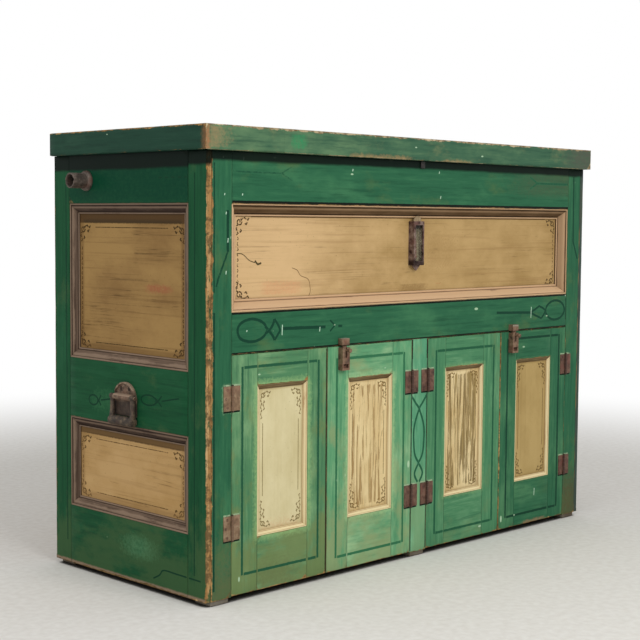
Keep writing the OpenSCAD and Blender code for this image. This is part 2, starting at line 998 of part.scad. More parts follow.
front_left_stile();
front_right_stile();
front_centre_stile();
front_top_rail();
front_mid_rail();
tank_front_panel();
tank_front_moulding();
left_side_frame();
left_side_panels();
left_side_mouldings();
right_side_frame();
right_side_panels();
right_side_mouldings();
back_boards();
floor_boards();
feet();
tank_deck();
deck_cleats();
cupboard_partition();
tank_liner();
overflow_pipe();
pipe_collar();
left_handle_plate();
left_handle_bail();
right_handle_plate();
right_handle_bail();
door_hinge_frame_leaves();
door_hinge_pins();
latch_keepers();
lid_catch_plate();
lid_hinge_body_leaves();
lid_hinge_lid_leaves();
lid_rim();
lid_boards();
lid_lining();
thermometer_case();
thermometer_glass();
thermometer_scale();
thermometer_tube();
door_1_frame();
door_1_panel();
door_1_moulding();
door_1_hinge_leaves();
door_2_frame();
door_2_panel();
door_2_moulding();
door_2_hinge_leaves();
door_3_frame();
door_3_panel();
door_3_moulding();
door_3_hinge_leaves();
door_4_frame();
door_4_panel();
door_4_moulding();
door_4_hinge_leaves();
door_2_latch_case();
door_2_bolt();
door_4_latch_case();
door_4_bolt();
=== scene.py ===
# %% [markdown]
# # A creamery cabinet in worn paint
# This lesson dresses a measured cabinet: a metal lined water tank with a thick lid, over a
# cupboard with four panelled doors. The measured solids give every place and every joint.
# Here the parts that show are built again as a joiner would make them, board by board, and
# each gets a finish that is worked out from real sizes. The idea to take away is that old
# paint looks right when the board under it is known: where its grain runs, where its
# arrises are, and which of them hands and weather have rubbed.

# %% Load the measured model
import math
import random

import bmesh
import bpy
from mathutils import Matrix, Vector, noise


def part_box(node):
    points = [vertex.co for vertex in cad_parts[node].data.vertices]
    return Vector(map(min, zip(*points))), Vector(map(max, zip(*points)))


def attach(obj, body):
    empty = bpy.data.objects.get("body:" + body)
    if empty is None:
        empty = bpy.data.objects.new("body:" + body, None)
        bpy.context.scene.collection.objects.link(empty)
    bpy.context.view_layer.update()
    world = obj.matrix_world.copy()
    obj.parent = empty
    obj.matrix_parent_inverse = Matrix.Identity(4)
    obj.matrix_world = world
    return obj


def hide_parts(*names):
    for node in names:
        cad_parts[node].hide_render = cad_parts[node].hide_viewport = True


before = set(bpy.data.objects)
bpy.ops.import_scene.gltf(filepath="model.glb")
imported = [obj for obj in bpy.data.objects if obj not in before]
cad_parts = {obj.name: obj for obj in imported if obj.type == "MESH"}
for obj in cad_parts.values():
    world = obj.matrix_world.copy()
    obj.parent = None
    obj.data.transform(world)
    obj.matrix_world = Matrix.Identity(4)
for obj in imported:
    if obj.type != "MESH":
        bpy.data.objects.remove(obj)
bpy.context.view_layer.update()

# %% [markdown]
# ## Millimetres from one corner
# A joiner measures from a corner of the carcass: x along the front, y to the back, z up.
# All sizes below are such millimetres, and one function turns them into the model's metres.
# The sizes themselves are read from the measured parts, so nothing can drift apart.

# %% Places and extents
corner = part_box("front_left_stile")[0]
HOME = Vector((corner.x, corner.y, 0))


def place(x, y, z):
    """A point in the model, in metres, from millimetres off the carcass's front left corner."""
    return HOME + Vector((x, y, z)) / 1000


def extent(node):
    """The lowest and highest corner of a measured part, in cabinet millimetres."""
    low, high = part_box(node)
    return ([round(v * 1000, 2) for v in low - HOME], [round(v * 1000, 2) for v in high - HOME])


def levels(node, axis):
    """The different heights, or places along another axis, of a measured part's corners."""
    found = {round((v.co[axis] - HOME[axis]) * 1000, 1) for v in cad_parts[node].data.vertices}
    return sorted(found)


body_w = extent("front_right_stile")[1][0]
body_top = extent("front_top_rail")[1][2]
foot_h = extent("front_left_stile")[0][2]
body_d = extent("left_side_frame")[1][1]
print("carcass:", body_w, "wide", body_d, "deep", body_top, "high")

# %% [markdown]
# ## The camera
# The camera stands in front of the left corner, a little under the lid's height, and looks
# slightly down. Its place and lens come from a fit to the corners of the cabinet. It has
# no shift and no depth of field, so that any other view is as sharp.

# %% Camera
camera_at = (-1780.1, -2096.6, 788.1)
yaw = math.radians(45.06)
pitch = math.radians(4.168)
roll = math.radians(-0.431)
sensor_mm = 36
lens_mm = 77.46

forward = Vector((math.sin(yaw) * math.cos(pitch), math.cos(yaw) * math.cos(pitch), -math.sin(pitch)))
level_right = Vector((math.cos(yaw), -math.sin(yaw), 0))
level_down = forward.cross(level_right)
right = math.cos(roll) * level_right + math.sin(roll) * level_down
down = math.cos(roll) * level_down - math.sin(roll) * level_right
lens = bpy.data.cameras.new("view")
lens.sensor_width = sensor_mm
lens.lens = lens_mm
camera = bpy.data.objects.new("view", lens)
bpy.context.scene.collection.objects.link(camera)
turned = Matrix((right, -down, -forward)).transposed().to_4x4()
camera.matrix_world = Matrix.Translation(place(*camera_at)) @ turned
bpy.context.scene.camera = camera
bpy.context.scene.view_settings.view_transform = "Standard"
print("camera at", [round(v, 3) for v in camera.matrix_world.translation], "metres, lens", lens_mm, "mm")

# %% [markdown]
# ## Light
# Plain soft light: a pale surround from every side, and two large soft lamps that show the
# shape. Together they light a surface that faces them at about the level where a colour
# renders as it is written. Seen directly, in gloss or through glass the surround is white.

# %% Surround and lamps
surround_level = 0.62
key_watts = 62
side_watts = 20

world = bpy.data.worlds.new("soft surround")
world.use_nodes = True
bpy.context.scene.world = world


def add(tree, kind, inputs=None, out=0, stops=None, **settings):
    """Adds a node with its settings and links, and returns one of its outputs."""
    made = tree.nodes.new(kind)
    for name, value in settings.items():
        setattr(made, name, value)
    if stops:
        ramp = made.color_ramp
        while len(ramp.elements) < len(stops):
            ramp.elements.new(0.5)
        for element, (at, colour) in zip(ramp.elements, stops):
            element.position = at
            element.color = colour
    for key, value in (inputs or {}).items():
        if isinstance(value, bpy.types.NodeSocket):
            tree.links.new(value, made.inputs[key])
        else:
            made.inputs[key].default_value = value
    return made.outputs[out] if len(made.outputs) else made


def seen_directly(tree):
    """1 for a ray from the camera, a reflection or glass, where a plain white shows."""
    rays = tree.nodes.new("ShaderNodeLightPath")
    most = add(tree, "ShaderNodeMath", {0: rays.outputs["Is Camera Ray"], 1: rays.outputs["Is Glossy Ray"]},
               operation="MAXIMUM")
    return add(tree, "ShaderNodeMath", {0: most, 1: rays.outputs["Is Transmission Ray"]}, operation="MAXIMUM")


sky = world.node_tree
sky.nodes.clear()
level = add(sky, "ShaderNodeMapRange", {0: seen_directly(sky), 3: surround_level, 4: 1.0})
surround = add(sky, "ShaderNodeBackground", {"Color": (1, 1, 1, 1), "Strength": level})
add(sky, "ShaderNodeOutputWorld", {"Surface": surround})


def lamp(name, at, aim, size, watts):
    """A large square soft lamp that points at a place on the cabinet."""
    light = bpy.data.lights.new(name, "AREA")
    light.shape = "SQUARE"
    light.size = size
    light.energy = watts
    made = bpy.data.objects.new(name, light)
    made.location = place(*at)
    made.rotation_euler = (place(*aim) - place(*at)).to_track_quat("-Z", "Y").to_euler()
    bpy.context.scene.collection.objects.link(made)


middle = (body_w / 2, body_d / 2, body_top / 2)
lamp("front lamp", (100, -2900, 2500), middle, 2.2, key_watts)
lamp("side lamp", (-2700, 100, 2000), middle, 2.0, side_watts)
print("lamps:", key_watts, "and", side_watts, "watts, surround", surround_level)

# %% [markdown]
# ## Floor
# A plain pale floor catches the cabinet's shadow. Away from the cabinet it fades into the
# white surround, so that no horizon shows.

# %% Floor
def linear(hex_colour):
    """A colour written as sRGB hex, as the linear values that the shader wants."""
    parts = [int(hex_colour[i:i + 2], 16) / 255 for i in (1, 3, 5)]
    return [c / 12.92 if c <= 0.04045 else ((c + 0.055) / 1.055) ** 2.4 for c in parts] + [1.0]


def blank_material(name):
    """A new material with an empty node tree."""
    made = bpy.data.materials.new(name)
    made.use_nodes = True
    made.node_tree.nodes.clear()
    return made, made.node_tree


floor_radius = 14.0
floor_steps = 96
plain_floor, tree = blank_material("pale floor")
spot = add(tree, "ShaderNodeTexCoord", out="Object")
away = add(tree, "ShaderNodeVectorMath", {0: spot}, out="Value", operation="LENGTH")
grit = add(tree, "ShaderNodeTexNoise", {"Vector": spot, "Scale": 60.0, "Detail": 6.0}, out="Fac")
shade = add(tree, "ShaderNodeValToRGB", {0: grit}, stops=[(0.3, linear("#dcd9d3")), (0.7, linear("#e6e4df"))])
# Under and right beside the cabinet an occlusion node darkens the floor's colour: a painted contact shadow.
near_cover = add(tree, "ShaderNodeAmbientOcclusion", {"Distance": 0.045}, out="AO", samples=8)
contact_shadow = add(tree, "ShaderNodeMapRange", {0: near_cover, 1: 0.52, 2: 0.3, 4: 0.93})
shade = add(tree, "ShaderNodeMix", {0: contact_shadow, 6: shade, 7: linear("#1a1510")}, out=2, data_type="RGBA")
matt = add(tree, "ShaderNodeBsdfDiffuse", {"Color": shade})
white = add(tree, "ShaderNodeEmission", {"Color": (1, 1, 1, 1), "Strength": 1.0})
fade = add(tree, "ShaderNodeMapRange", {0: away, 1: 1.3, 2: 3.2}, interpolation_type="SMOOTHSTEP")
share = add(tree, "ShaderNodeMath", {0: fade, 1: seen_directly(tree)}, operation="MULTIPLY")
mixed = add(tree, "ShaderNodeMixShader", {0: share, 1: matt, 2: white})
add(tree, "ShaderNodeOutputMaterial", {"Surface": mixed})

ground = bmesh.new()
bmesh.ops.create_circle(ground, cap_ends=True, segments=floor_steps, radius=floor_radius)
floor_mesh = bpy.data.meshes.new("floor")
ground.to_mesh(floor_mesh)
floor_mesh.materials.append(plain_floor)
floor = bpy.data.objects.new("floor", floor_mesh)
floor.location.z = -0.0005
bpy.context.scene.collection.objects.link(floor)
print("floor radius", floor_radius, "m")

# %% [markdown]
# ## What a board knows about itself
# Every board carries four values in its mesh, and the finishes read them. `grain` is the
# place in the wood: along, across and through the board, in metres, shifted so that no two
# boards have the same figure. `edge` is how far the nearest arris is, in millimetres,
# and `worn` is how wide that arris is rubbed. `bare` is 1 on faces that were never painted.
# A mark on a board, such as a painted line, takes the same values from the board below it,
# so the same worn paint runs through both, and the line is only a second colour on top.

# %% Board values
SIDES = (("left", "right"), ("front", "back"), ("bottom", "top"))
support_mm = (3, 9, 22, 46)
boards = {}
chance = random.Random(1878)


def describe_board(name, low, high, grain_axis, worn, bare):
    """The values of a board: its box, the way of its grain and how its arrises are worn."""
    arrises = {frozenset(key.split()): width for key, width in worn.items()}
    shift = Vector([chance.uniform(-6, 6) for _ in range(3)])
    across = [axis for axis in range(3) if axis != grain_axis]
    boards[name] = dict(low=low, high=high, axes=[grain_axis] + across, shift=shift, worn=arrises, bare=bare)
    return boards[name]


def nearest_arris(board, point):
    """How far a surface point is from the board's nearest arris, and how wide that one is worn."""
    found = []
    for axis in range(3):
        below = point[axis] - board["low"][axis]
        above = board["high"][axis] - point[axis]
        found.append((max(min(below, above), 0), SIDES[axis][int(below > above)]))
    found.sort()
    pair = frozenset((found[0][1], found[1][1]))
    return found[1][0], board["worn"].get(pair, board["worn"].get(frozenset(["all"]), 0)), found[0][1]


def write_values(mesh, board, points, ink=None):
    """Writes grain, edge, worn, bare and ink into a mesh whose corners lie at these points."""
    along, a, b = board["axes"]
    grain, edge, worn, bare = [], [], [], []
    for p in points:
        near, width, face = nearest_arris(board, p)
        grain.extend(Vector((p[along], p[a], p[b])) / 1000 + board["shift"])
        edge.append(min(near, support_mm[-1]))
        worn.append(width)
        bare.append(1.0 if face in board["bare"] else 0.0)
    mesh.attributes.new("grain", "FLOAT_VECTOR", "POINT").data.foreach_set("vector", grain)
    for name, values in (("edge", edge), ("worn", worn), ("bare", bare), ("ink", ink)):
        if values:
            mesh.attributes.new(name, "FLOAT", "POINT").data.foreach_set("value", values)


pieces_made = []


def put(name, mesh, finish, body, stands_for=()):
    """Makes an object of a mesh, gives it its finish and lets it ride on a body of the model."""
    mesh.materials.append(finish)
    made = bpy.data.objects.new(name, mesh)
    bpy.context.scene.collection.objects.link(made)
    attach(made, body)
    if stands_for:
        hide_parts(*stands_for)
    pieces_made.append(made)
    return made


print("sides of a board:", SIDES)

# %% [markdown]
# ## A planed board
# A real board is a box with arrises that were planed off by a millimetre or so and then
# knocked about for a century. It could be a cube with a bevel modifier, but then every
# arris is equally perfect. Instead a rounded section is carried along the grain in short
# steps, and the radius of each arris wanders and is dented a little at every step.

# %% Board mesh
step_mm = 24
most_rounded = 1.6


def section(wide, deep, radii, arris):
    """Points round a board's section with four rounded arrises, in millimetres."""
    points = []
    corners = ((wide, deep), (0, deep), (0, 0), (wide, 0))
    for turn, (x, y) in enumerate(corners):
        r = radii[turn]
        cx = x - r if x else r
        cy = y - r if y else r
        for k in range(3):
            angle = math.radians(90 * turn + 45 * k)
            points.append((cx + r * math.cos(angle), cy + r * math.sin(angle)))
        nx, ny = corners[(turn + 1) % 4]
        side = abs(nx - x) + abs(ny - y)
        near = [s for s in support_mm if 2 * s < side - 4 and s > most_rounded * arris + 0.05]
        for s in near + [side - s for s in reversed(near)]:
            points.append((x + (nx - x) * s / side, y + (ny - y) * s / side))
    return points


def inset(points, wide, deep, by):
    """The same points, kept at least this far inside the section's box."""
    return [(min(max(x, by), wide - by), min(max(y, by), deep - by)) for x, y in points]


def add_board(name, low, high, grain, finish, slot="front_green_paint", body="carcass", stands_for=(),
              arris=0.9, worn=None, bare=(), mitre=None):
    """A board between two corners. mitre is (axis, outer side, start, end), with 1 for an end cut at 45 degrees."""
    grain_axis = "xyz".index(grain)
    board = describe_board(name, low, high, grain_axis, worn or {"all": 1.5}, bare)
    board.update(finish=finish.name, body=body, slot=slot)
    along, a, b = board["axes"]
    length = high[along] - low[along]
    wide, deep = high[a] - low[a], high[b] - low[b]
    arris = min(arris, wide * 0.3, deep * 0.3)
    count = max(2, round(length / step_mm))
    middle_steps = [arris + (length - 2 * arris) * i / count for i in range(count + 1)]
    rings = [(0, 9), (0, max(3, most_rounded * arris)), (0, arris), (arris * 0.3, arris * 0.3)]
    rings += [(s, 0) for s in middle_steps]
    rings += [(length - s, by) for s, by in reversed(rings[:4])]
    mesh_points = []
    shape = bmesh.new()
    loops = []
    for s, by in rings:
        radii = []
        for turn in range(4):
            wander = noise.noise(board["shift"] * 9 + Vector((s / 45, turn * 7.3, 0)))
            dent = max(0, noise.noise(board["shift"] * 5 + Vector((s / 14, turn * 3.1, 4))) - 0.3)
            radii.append(arris * min(most_rounded, 1 + 0.35 * wander + 1.6 * dent))
        by = min(by, wide / 2 - 0.05, deep / 2 - 0.05)
        loop = []
        for u, v in inset(section(wide, deep, radii, arris), wide, deep, by):
            point = [0, 0, 0]
            point[a] = low[a] + u
            point[b] = low[b] + v
            start = end = 0
            if mitre:
                start = mitre[2] * abs(point[mitre[0]] - mitre[1])
                end = mitre[3] * abs(point[mitre[0]] - mitre[1])
            point[along] = low[along] + start + s * (length - start - end) / length
            mesh_points.append(point)
            loop.append(shape.verts.new(place(*point)))
        loops.append(loop)
    for one, two in zip(loops, loops[1:]):
        for i in range(len(one)):
            j = (i + 1) % len(one)
            shape.faces.new((one[i], one[j], two[j], two[i]))
    shape.faces.new(loops[0])
    shape.faces.new(loops[-1])
    bmesh.ops.recalc_face_normals(shape, faces=shape.faces)
    mesh = bpy.data.meshes.new(name)
    shape.to_mesh(mesh)
    shape.free()
    mesh.polygons.foreach_set("use_smooth", [True] * len(mesh.polygons))
    write_values(mesh, board, mesh_points)
    return put(name, mesh, finish, body, stands_for)


print("support loops at", support_mm, "mm, a step every", step_mm, "mm")

# %% [markdown]
# ## Pine
# The carcass is softwood. Its growth rings are 3 to 12 mm apart on the face of a board and
# run along it for half a metre or so, and its fibres are far finer. The first noise below
# is stretched 20 times along the grain and gives the rings, the second gives the fibres,
# drawn about three times as coarse as they are so that they show.

# %% Pine figure
ring_mm = 11
fibre_mm = 1.6
chalk_gloss = 0.07


def pine_figure(tree, grain, early, late):
    """Colour and height of pine: pale early wood, darker late wood, and fibres."""
    rings_at = add(tree, "ShaderNodeVectorMath", {0: grain, 1: (2.4, 1000 / ring_mm, 1000 / ring_mm)},
                   operation="MULTIPLY")
    rings = add(tree, "ShaderNodeTexNoise", {"Vector": rings_at, "Scale": 1.0, "Detail": 4.0, "Roughness": 0.55,
                                             "Distortion": 0.5}, out="Fac")
    fibres_at = add(tree, "ShaderNodeVectorMath", {0: grain, 1: (22, 1000 / fibre_mm, 1000 / fibre_mm)},
                    operation="MULTIPLY")
    fibres = add(tree, "ShaderNodeTexNoise", {"Vector": fibres_at, "Scale": 1.0, "Detail": 2.0}, out="Fac")
    both = add(tree, "ShaderNodeMath", {0: fibres, 1: 0.35, 2: rings}, operation="MULTIPLY_ADD")
    colour = add(tree, "ShaderNodeValToRGB", {0: both}, stops=[(0.48, linear(early)), (0.66, linear(late)),
                                                              (0.86, linear(early))])
    return colour, both


def read_board(tree):
    """The values that each board carries, as sockets: grain, edge, worn, bare and ink."""
    grain = add(tree, "ShaderNodeAttribute", attribute_name="grain", out="Vector")
    rest = [add(tree, "ShaderNodeAttribute", attribute_name=name, out="Fac")
            for name in ("edge", "worn", "bare", "ink")]
    return [grain] + rest


def blend(tree, share, one, two):
    """Colour two laid over colour one by a share from 0 to 1."""
    return add(tree, "ShaderNodeMix", {0: share, 6: one, 7: two}, out=2, data_type="RGBA")


def close_material(tree, colour, roughness, height, depth_mm, gloss=0.5, **extra):
    """Ends a material: one shader, with the height as relief of this depth. Chalky paint has little gloss."""
    relief = add(tree, "ShaderNodeBump", {"Height": height, "Strength": 1.0, "Distance": depth_mm / 1000})
    values = {"Base Color": colour, "Roughness": roughness, "Specular IOR Level": gloss, "Normal": relief}
    values.update(extra)
    surface = add(tree, "ShaderNodeBsdfPrincipled", values)
    add(tree, "ShaderNodeOutputMaterial", {"Surface": surface})


def bare_pine(name, early, late, grey, age=0.4):
    """Unpainted sawn pine that has darkened and gone grey in patches."""
    made, tree = blank_material(name)
    grain, edge, worn, bare, ink = read_board(tree)
    wood, relief = pine_figure(tree, grain, early, late)
    patches = add(tree, "ShaderNodeTexNoise", {"Vector": grain, "Scale": 9.0, "Detail": 5.0}, out="Fac")
    aged = add(tree, "ShaderNodeMapRange", {0: patches, 1: 0.62 - age * 0.4, 2: 0.75}, interpolation_type="SMOOTHSTEP")
    tone = blend(tree, aged, wood, linear(grey))
    grime = add(tree, "ShaderNodeMapRange", {0: edge, 1: 0.0, 2: 5.0, 3: 0.55, 4: 0.0})
    dirty = blend(tree, grime, tone, linear("#3a3024"))
    close_material(tree, dirty, 0.78, relief, 0.35, chalk_gloss)
    return made


aged_pine = bare_pine("aged pine boards", "#b3946a", "#8d6b44", "#8e7f66", 0.5)
inner_pine = bare_pine("inner pine boards", "#c3a377", "#a07d53", "#9a8a70", 0.25)
print("rings every", ring_mm, "mm, fibres every", fibre_mm, "mm")

# %% [markdown]
# ## Old oil paint on pine
# Linseed oil paint chalks: it goes matt, pale and uneven, shows the brush along the grain,
# and leaves the arrises first. So the finish is built like the paint itself. The coat
# varies in clouds of about 150 mm and in brush marks under 2 mm, it thins to an olive
# ground in places and near the floor, and it is gone wherever the distance to an arris is
# less than the ragged width that is worn there. Small nicks show the pale undercoat.
# With a mark, the same paint gets a second colour where the mark's ink still holds.

# %% Worn paint
cloud_mm = 110
brush_mm = 9
nick_cell_mm = 27
recipes = {}


def worn_paint(name, coat, chalk, deep, thin, mark=None, hold=0.55, soft=0.0, nicks=1.0, low_dirt=1.0, chalkiness=0.5,
               joints=0.2, under_lid=0.0, dark_from=0.908, scraps=False, bare_early="#d0a76c", bare_late="#8f683c"):
    """Chalked oil paint on pine, worn at the arrises, with a mark laid on it if one is given."""
    made, tree = blank_material(name)
    grain, edge, worn, bare, ink = read_board(tree)
    high = add(tree, "ShaderNodeSeparateXYZ", {0: add(tree, "ShaderNodeTexCoord", out="Object")}, out="Z")

    clouds_at = add(tree, "ShaderNodeVectorMath", {0: grain, 1: (0.5, 1.0, 1.0)}, operation="MULTIPLY")
    clouds = add(tree, "ShaderNodeTexNoise", {"Vector": clouds_at, "Scale": 1000 / cloud_mm, "Detail": 5.0,
                                              "Roughness": 0.62}, out="Fac")
    chalked = add(tree, "ShaderNodeMapRange", {0: clouds, 1: 0.75 - chalkiness * 0.5, 2: 0.95 - chalkiness * 0.4},
                  interpolation_type="SMOOTHSTEP")
    paint = blend(tree, chalked, linear(coat), linear(chalk))
    brush_at = add(tree, "ShaderNodeVectorMath", {0: grain, 1: (8, 1000 / brush_mm, 1000 / brush_mm)},
                   operation="MULTIPLY")
    brush = add(tree, "ShaderNodeTexNoise", {"Vector": brush_at, "Scale": 1.0, "Detail": 4.0, "Roughness": 0.68},
                out="Fac")
    streaks = add(tree, "ShaderNodeMapRange", {0: brush, 1: 0.5, 2: 0.69, 4: 0.62})
    paint = blend(tree, streaks, paint, linear(deep))
    light_streaks = add(tree, "ShaderNodeMapRange", {0: brush, 1: 0.45, 2: 0.3, 4: 0.5})
    paint = blend(tree, light_streaks, paint, linear(chalk))

    ground_at = add(tree, "ShaderNodeVectorMath", {0: grain, 1: (0.55, 1.0, 1.0)}, operation="MULTIPLY")
    ground = add(tree, "ShaderNodeTexNoise", {"Vector": ground_at, "Scale": 13.0, "Detail": 6.0,
                                              "Roughness": 0.68}, out="Fac")
    lowness = add(tree, "ShaderNodeMapRange", {0: high, 1: 0.30, 2: 0.02, 3: 0.0, 4: 0.22 * low_dirt})
    thinned = add(tree, "ShaderNodeMath", {0: ground, 1: lowness}, operation="ADD")
    thin_share = add(tree, "ShaderNodeMapRange", {0: thinned, 1: 0.54, 2: 0.74, 4: 0.8},
                     interpolation_type="SMOOTHSTEP")
    paint = blend(tree, thin_share, paint, linear(thin))

    if mark:
        breaks = add(tree, "ShaderNodeTexNoise", {"Vector": grain, "Scale": 140.0, "Detail": 4.0,
                                                  "Roughness": 0.7}, out="Fac")
        reach = add(tree, "ShaderNodeMath", {0: ink, 1: 0.75, 2: breaks}, operation="MULTIPLY_ADD")
        held = add(tree, "ShaderNodeMapRange", {0: reach, 1: 1.12 - hold - soft, 2: 1.36 - hold + soft / 2})
        paint = blend(tree, held, paint, linear(mark))

    cells = tree.nodes.new("ShaderNodeTexVoronoi")
    cells.inputs["Scale"].default_value = 1000 / nick_cell_mm
    nick_at = add(tree, "ShaderNodeVectorMath", {0: grain, 1: (0.45, 1.0, 1.0)}, operation="MULTIPLY")
    tree.links.new(nick_at, cells.inputs["Vector"])
    luck = add(tree, "ShaderNodeSeparateColor", {0: cells.outputs["Color"]}, out="Red")
    size = add(tree, "ShaderNodeMapRange", {0: luck, 1: 0.62, 2: 1.0, 3: 0.0, 4: 0.12 * nicks})
    inside = add(tree, "ShaderNodeMath", {0: size, 1: cells.outputs["Distance"]}, operation="SUBTRACT")
    nick = add(tree, "ShaderNodeMapRange", {0: inside, 1: -0.006, 2: 0.02, 4: 0.8})
    paint = blend(tree, nick, paint, linear("#b3d0ae"))

    wood, figure = pine_figure(tree, grain, bare_early, bare_late)
    soil = add(tree, "ShaderNodeTexNoise", {"Vector": grain, "Scale": 55.0, "Detail": 6.0, "Roughness": 0.7}, out="Fac")
    soil_most = add(tree, "ShaderNodeMapRange", {0: bare, 3: 0.85, 4: 0.85 if scraps else 0.2})
    soiled = add(tree, "ShaderNodeMapRange", {0: soil, 1: 0.46, 2: 0.57, 4: soil_most})
    wood = blend(tree, soiled, wood, linear("#5d4a30"))
    wear_at = add(tree, "ShaderNodeVectorMath", {0: grain, 1: (0.5, 1.0, 1.0)}, operation="MULTIPLY")
    ragged = add(tree, "ShaderNodeTexNoise", {"Vector": wear_at, "Scale": 52.0, "Detail": 8.0, "Roughness": 0.78},
                 out="Fac")
    bite = add(tree, "ShaderNodeMapRange", {0: ragged, 1: 0.34, 2: 0.66, 3: 0.0, 4: 1.9})
    reach = add(tree, "ShaderNodeMath", {0: worn, 1: bite}, operation="MULTIPLY")
    past = add(tree, "ShaderNodeMath", {0: reach, 1: edge}, operation="SUBTRACT")
    gone = add(tree, "ShaderNodeMapRange", {0: past, 1: 0.1, 2: 0.7})
    unpainted = bare
    if scraps:
        left_over = add(tree, "ShaderNodeMapRange", {0: ragged, 1: 0.56, 2: 0.61, 3: 1.0, 4: 0.1})
        unpainted = add(tree, "ShaderNodeMath", {0: bare, 1: left_over}, operation="MULTIPLY")
    shown = add(tree, "ShaderNodeMath", {0: gone, 1: unpainted}, operation="MAXIMUM")
    surface = blend(tree, shown, paint, wood)
    joint = add(tree, "ShaderNodeMapRange", {0: edge, 1: 0.3, 2: 2.2, 3: joints, 4: 0.0})
    clean = add(tree, "ShaderNodeMapRange", {0: shown, 3: 1.0, 4: 0.15})
    grime = add(tree, "ShaderNodeMath", {0: joint, 1: clean}, operation="MULTIPLY")
    surface = blend(tree, grime, surface, linear("#1c2218"))
    # A dark band under the lid with a ragged lower edge: the lid's shadow, painted into the colour.
    if under_lid:
        lid_shadow_edge = add(tree, "ShaderNodeMath", {0: clouds, 1: 0.012, 2: high}, operation="MULTIPLY_ADD")
        painted_lid_shadow = add(tree, "ShaderNodeMapRange", {0: lid_shadow_edge, 1: dark_from, 2: dark_from + 0.008,
                                                        4: under_lid},
                       interpolation_type="SMOOTHSTEP")
        surface = blend(tree, painted_lid_shadow, surface, linear("#04100a"))

    rough = add(tree, "ShaderNodeMapRange", {0: shown, 3: 0.52, 4: 0.82})
    low = add(tree, "ShaderNodeMath", {0: shown, 1: -0.9, 2: brush}, operation="MULTIPLY_ADD")
    close_material(tree, surface, rough, add(tree, "ShaderNodeMath", {0: figure, 1: 0.6, 2: low},
                                             operation="MULTIPLY_ADD"), 0.28, chalk_gloss)
    return made




def recipe(make, name, **tones):
    """Makes a paint and keeps its recipe, so that the same paint can be made again with a mark on it."""
    recipes[name] = (make, tones)
    return make(name, **tones)


FRONT = dict(coat="#2a6043", chalk="#3f7651", deep="#1b4a33", thin="#4c6b43")
# The palettes for the cabinet's ends and the lid's ends are darker than those of the front and the lid top, as the ends
# looked in shade: painted shade in their colours, with some dust on the lid ends.
SIDE_SHADED = dict(coat="#164c2e", chalk="#22593a", deep="#0a3723", thin="#3c5a37")
LID = dict(coat="#3d624a", chalk="#5f7f5c", deep="#25493a", thin="#77805a")
LID_END_DUSTY_SHADED = dict(coat="#1f4032", chalk="#2b4d3c", deep="#152f25", thin="#3c4b3e")
STRIP = dict(coat="#3c4b43", chalk="#4b5a50", deep="#2a332e", thin="#50503f")
CENTRE = dict(coat="#569672", chalk="#86bd91", deep="#3d7a56", thin="#759b70")
DOORS = [dict(coat="#4f815a", chalk="#7fa678", deep="#39664a", thin="#70804f"),
         dict(coat="#5e9a6f", chalk="#97bb8d", deep="#437a58", thin="#8a9b6d"),
         dict(coat="#4a815b", chalk="#75a57a", deep="#2f6346", thin="#62835a"),
         dict(coat="#2e6446", chalk="#4e8059", deep="#1b4c34", thin="#3c6744")]
front_green = recipe(worn_paint, "chalked green paint, front", low_dirt=0.6, under_lid=0.97, **FRONT)
centre_green = recipe(worn_paint, "chalked green paint, centre stile", chalkiness=0.6, **CENTRE)
door_greens = [recipe(worn_paint, f"chalked green paint, door {n + 1}", chalkiness=0.6, low_dirt=dirt, nicks=1.5,
                      **tones)
               for n, (tones, dirt) in enumerate(zip(DOORS, (1.0, 0.8, 0.3, 0.1)))]
# On the ends the painted lid shadow starts lower, and the bare wood tones are darker too, as painted shade.
side_green = recipe(worn_paint, "green paint, ends", nicks=0.6, chalkiness=0.4, under_lid=0.97,
                    dark_from=0.893, bare_early="#9a7f55", bare_late="#6b5334", **SIDE_SHADED)
strip_bare = recipe(worn_paint, "green paint rubbed off, left front edge", nicks=0.6, chalkiness=0.4, under_lid=0.97,
                    dark_from=0.9, scraps=True, bare_early="#d2b180", bare_late="#9a703f", **SIDE_SHADED)
strip_green = recipe(worn_paint, "dusty dark paint, right front edge", nicks=0.4, low_dirt=0, under_lid=0.97,
                     **STRIP)
lid_green = recipe(worn_paint, "rubbed green paint, lid", chalkiness=0.55, low_dirt=0, joints=0.08,
                   bare_early="#c2b190", bare_late="#9c8a6a", **LID)
lid_end_green = recipe(worn_paint, "dusty green paint, lid ends", nicks=0.4, low_dirt=0, joints=0.1, **LID_END_DUSTY_SHADED)
print("paint clouds", cloud_mm, "mm, brush marks", brush_mm, "mm")

# %% [markdown]
# ## Buff panels
# The panels were painted buff over pine and then wore thin: the grain shows as brown lines,
# long fine checks open along it, and where water ran the paint is gone in streaks. The
# coat is laid over the pine figure and `show` says how much of the figure comes through.
# `streaked` lets the bare streaks in, which stop short of the panel's rim, where the
# moulding sheltered the paint.

# %% Grained buff paint
check_mm = 9


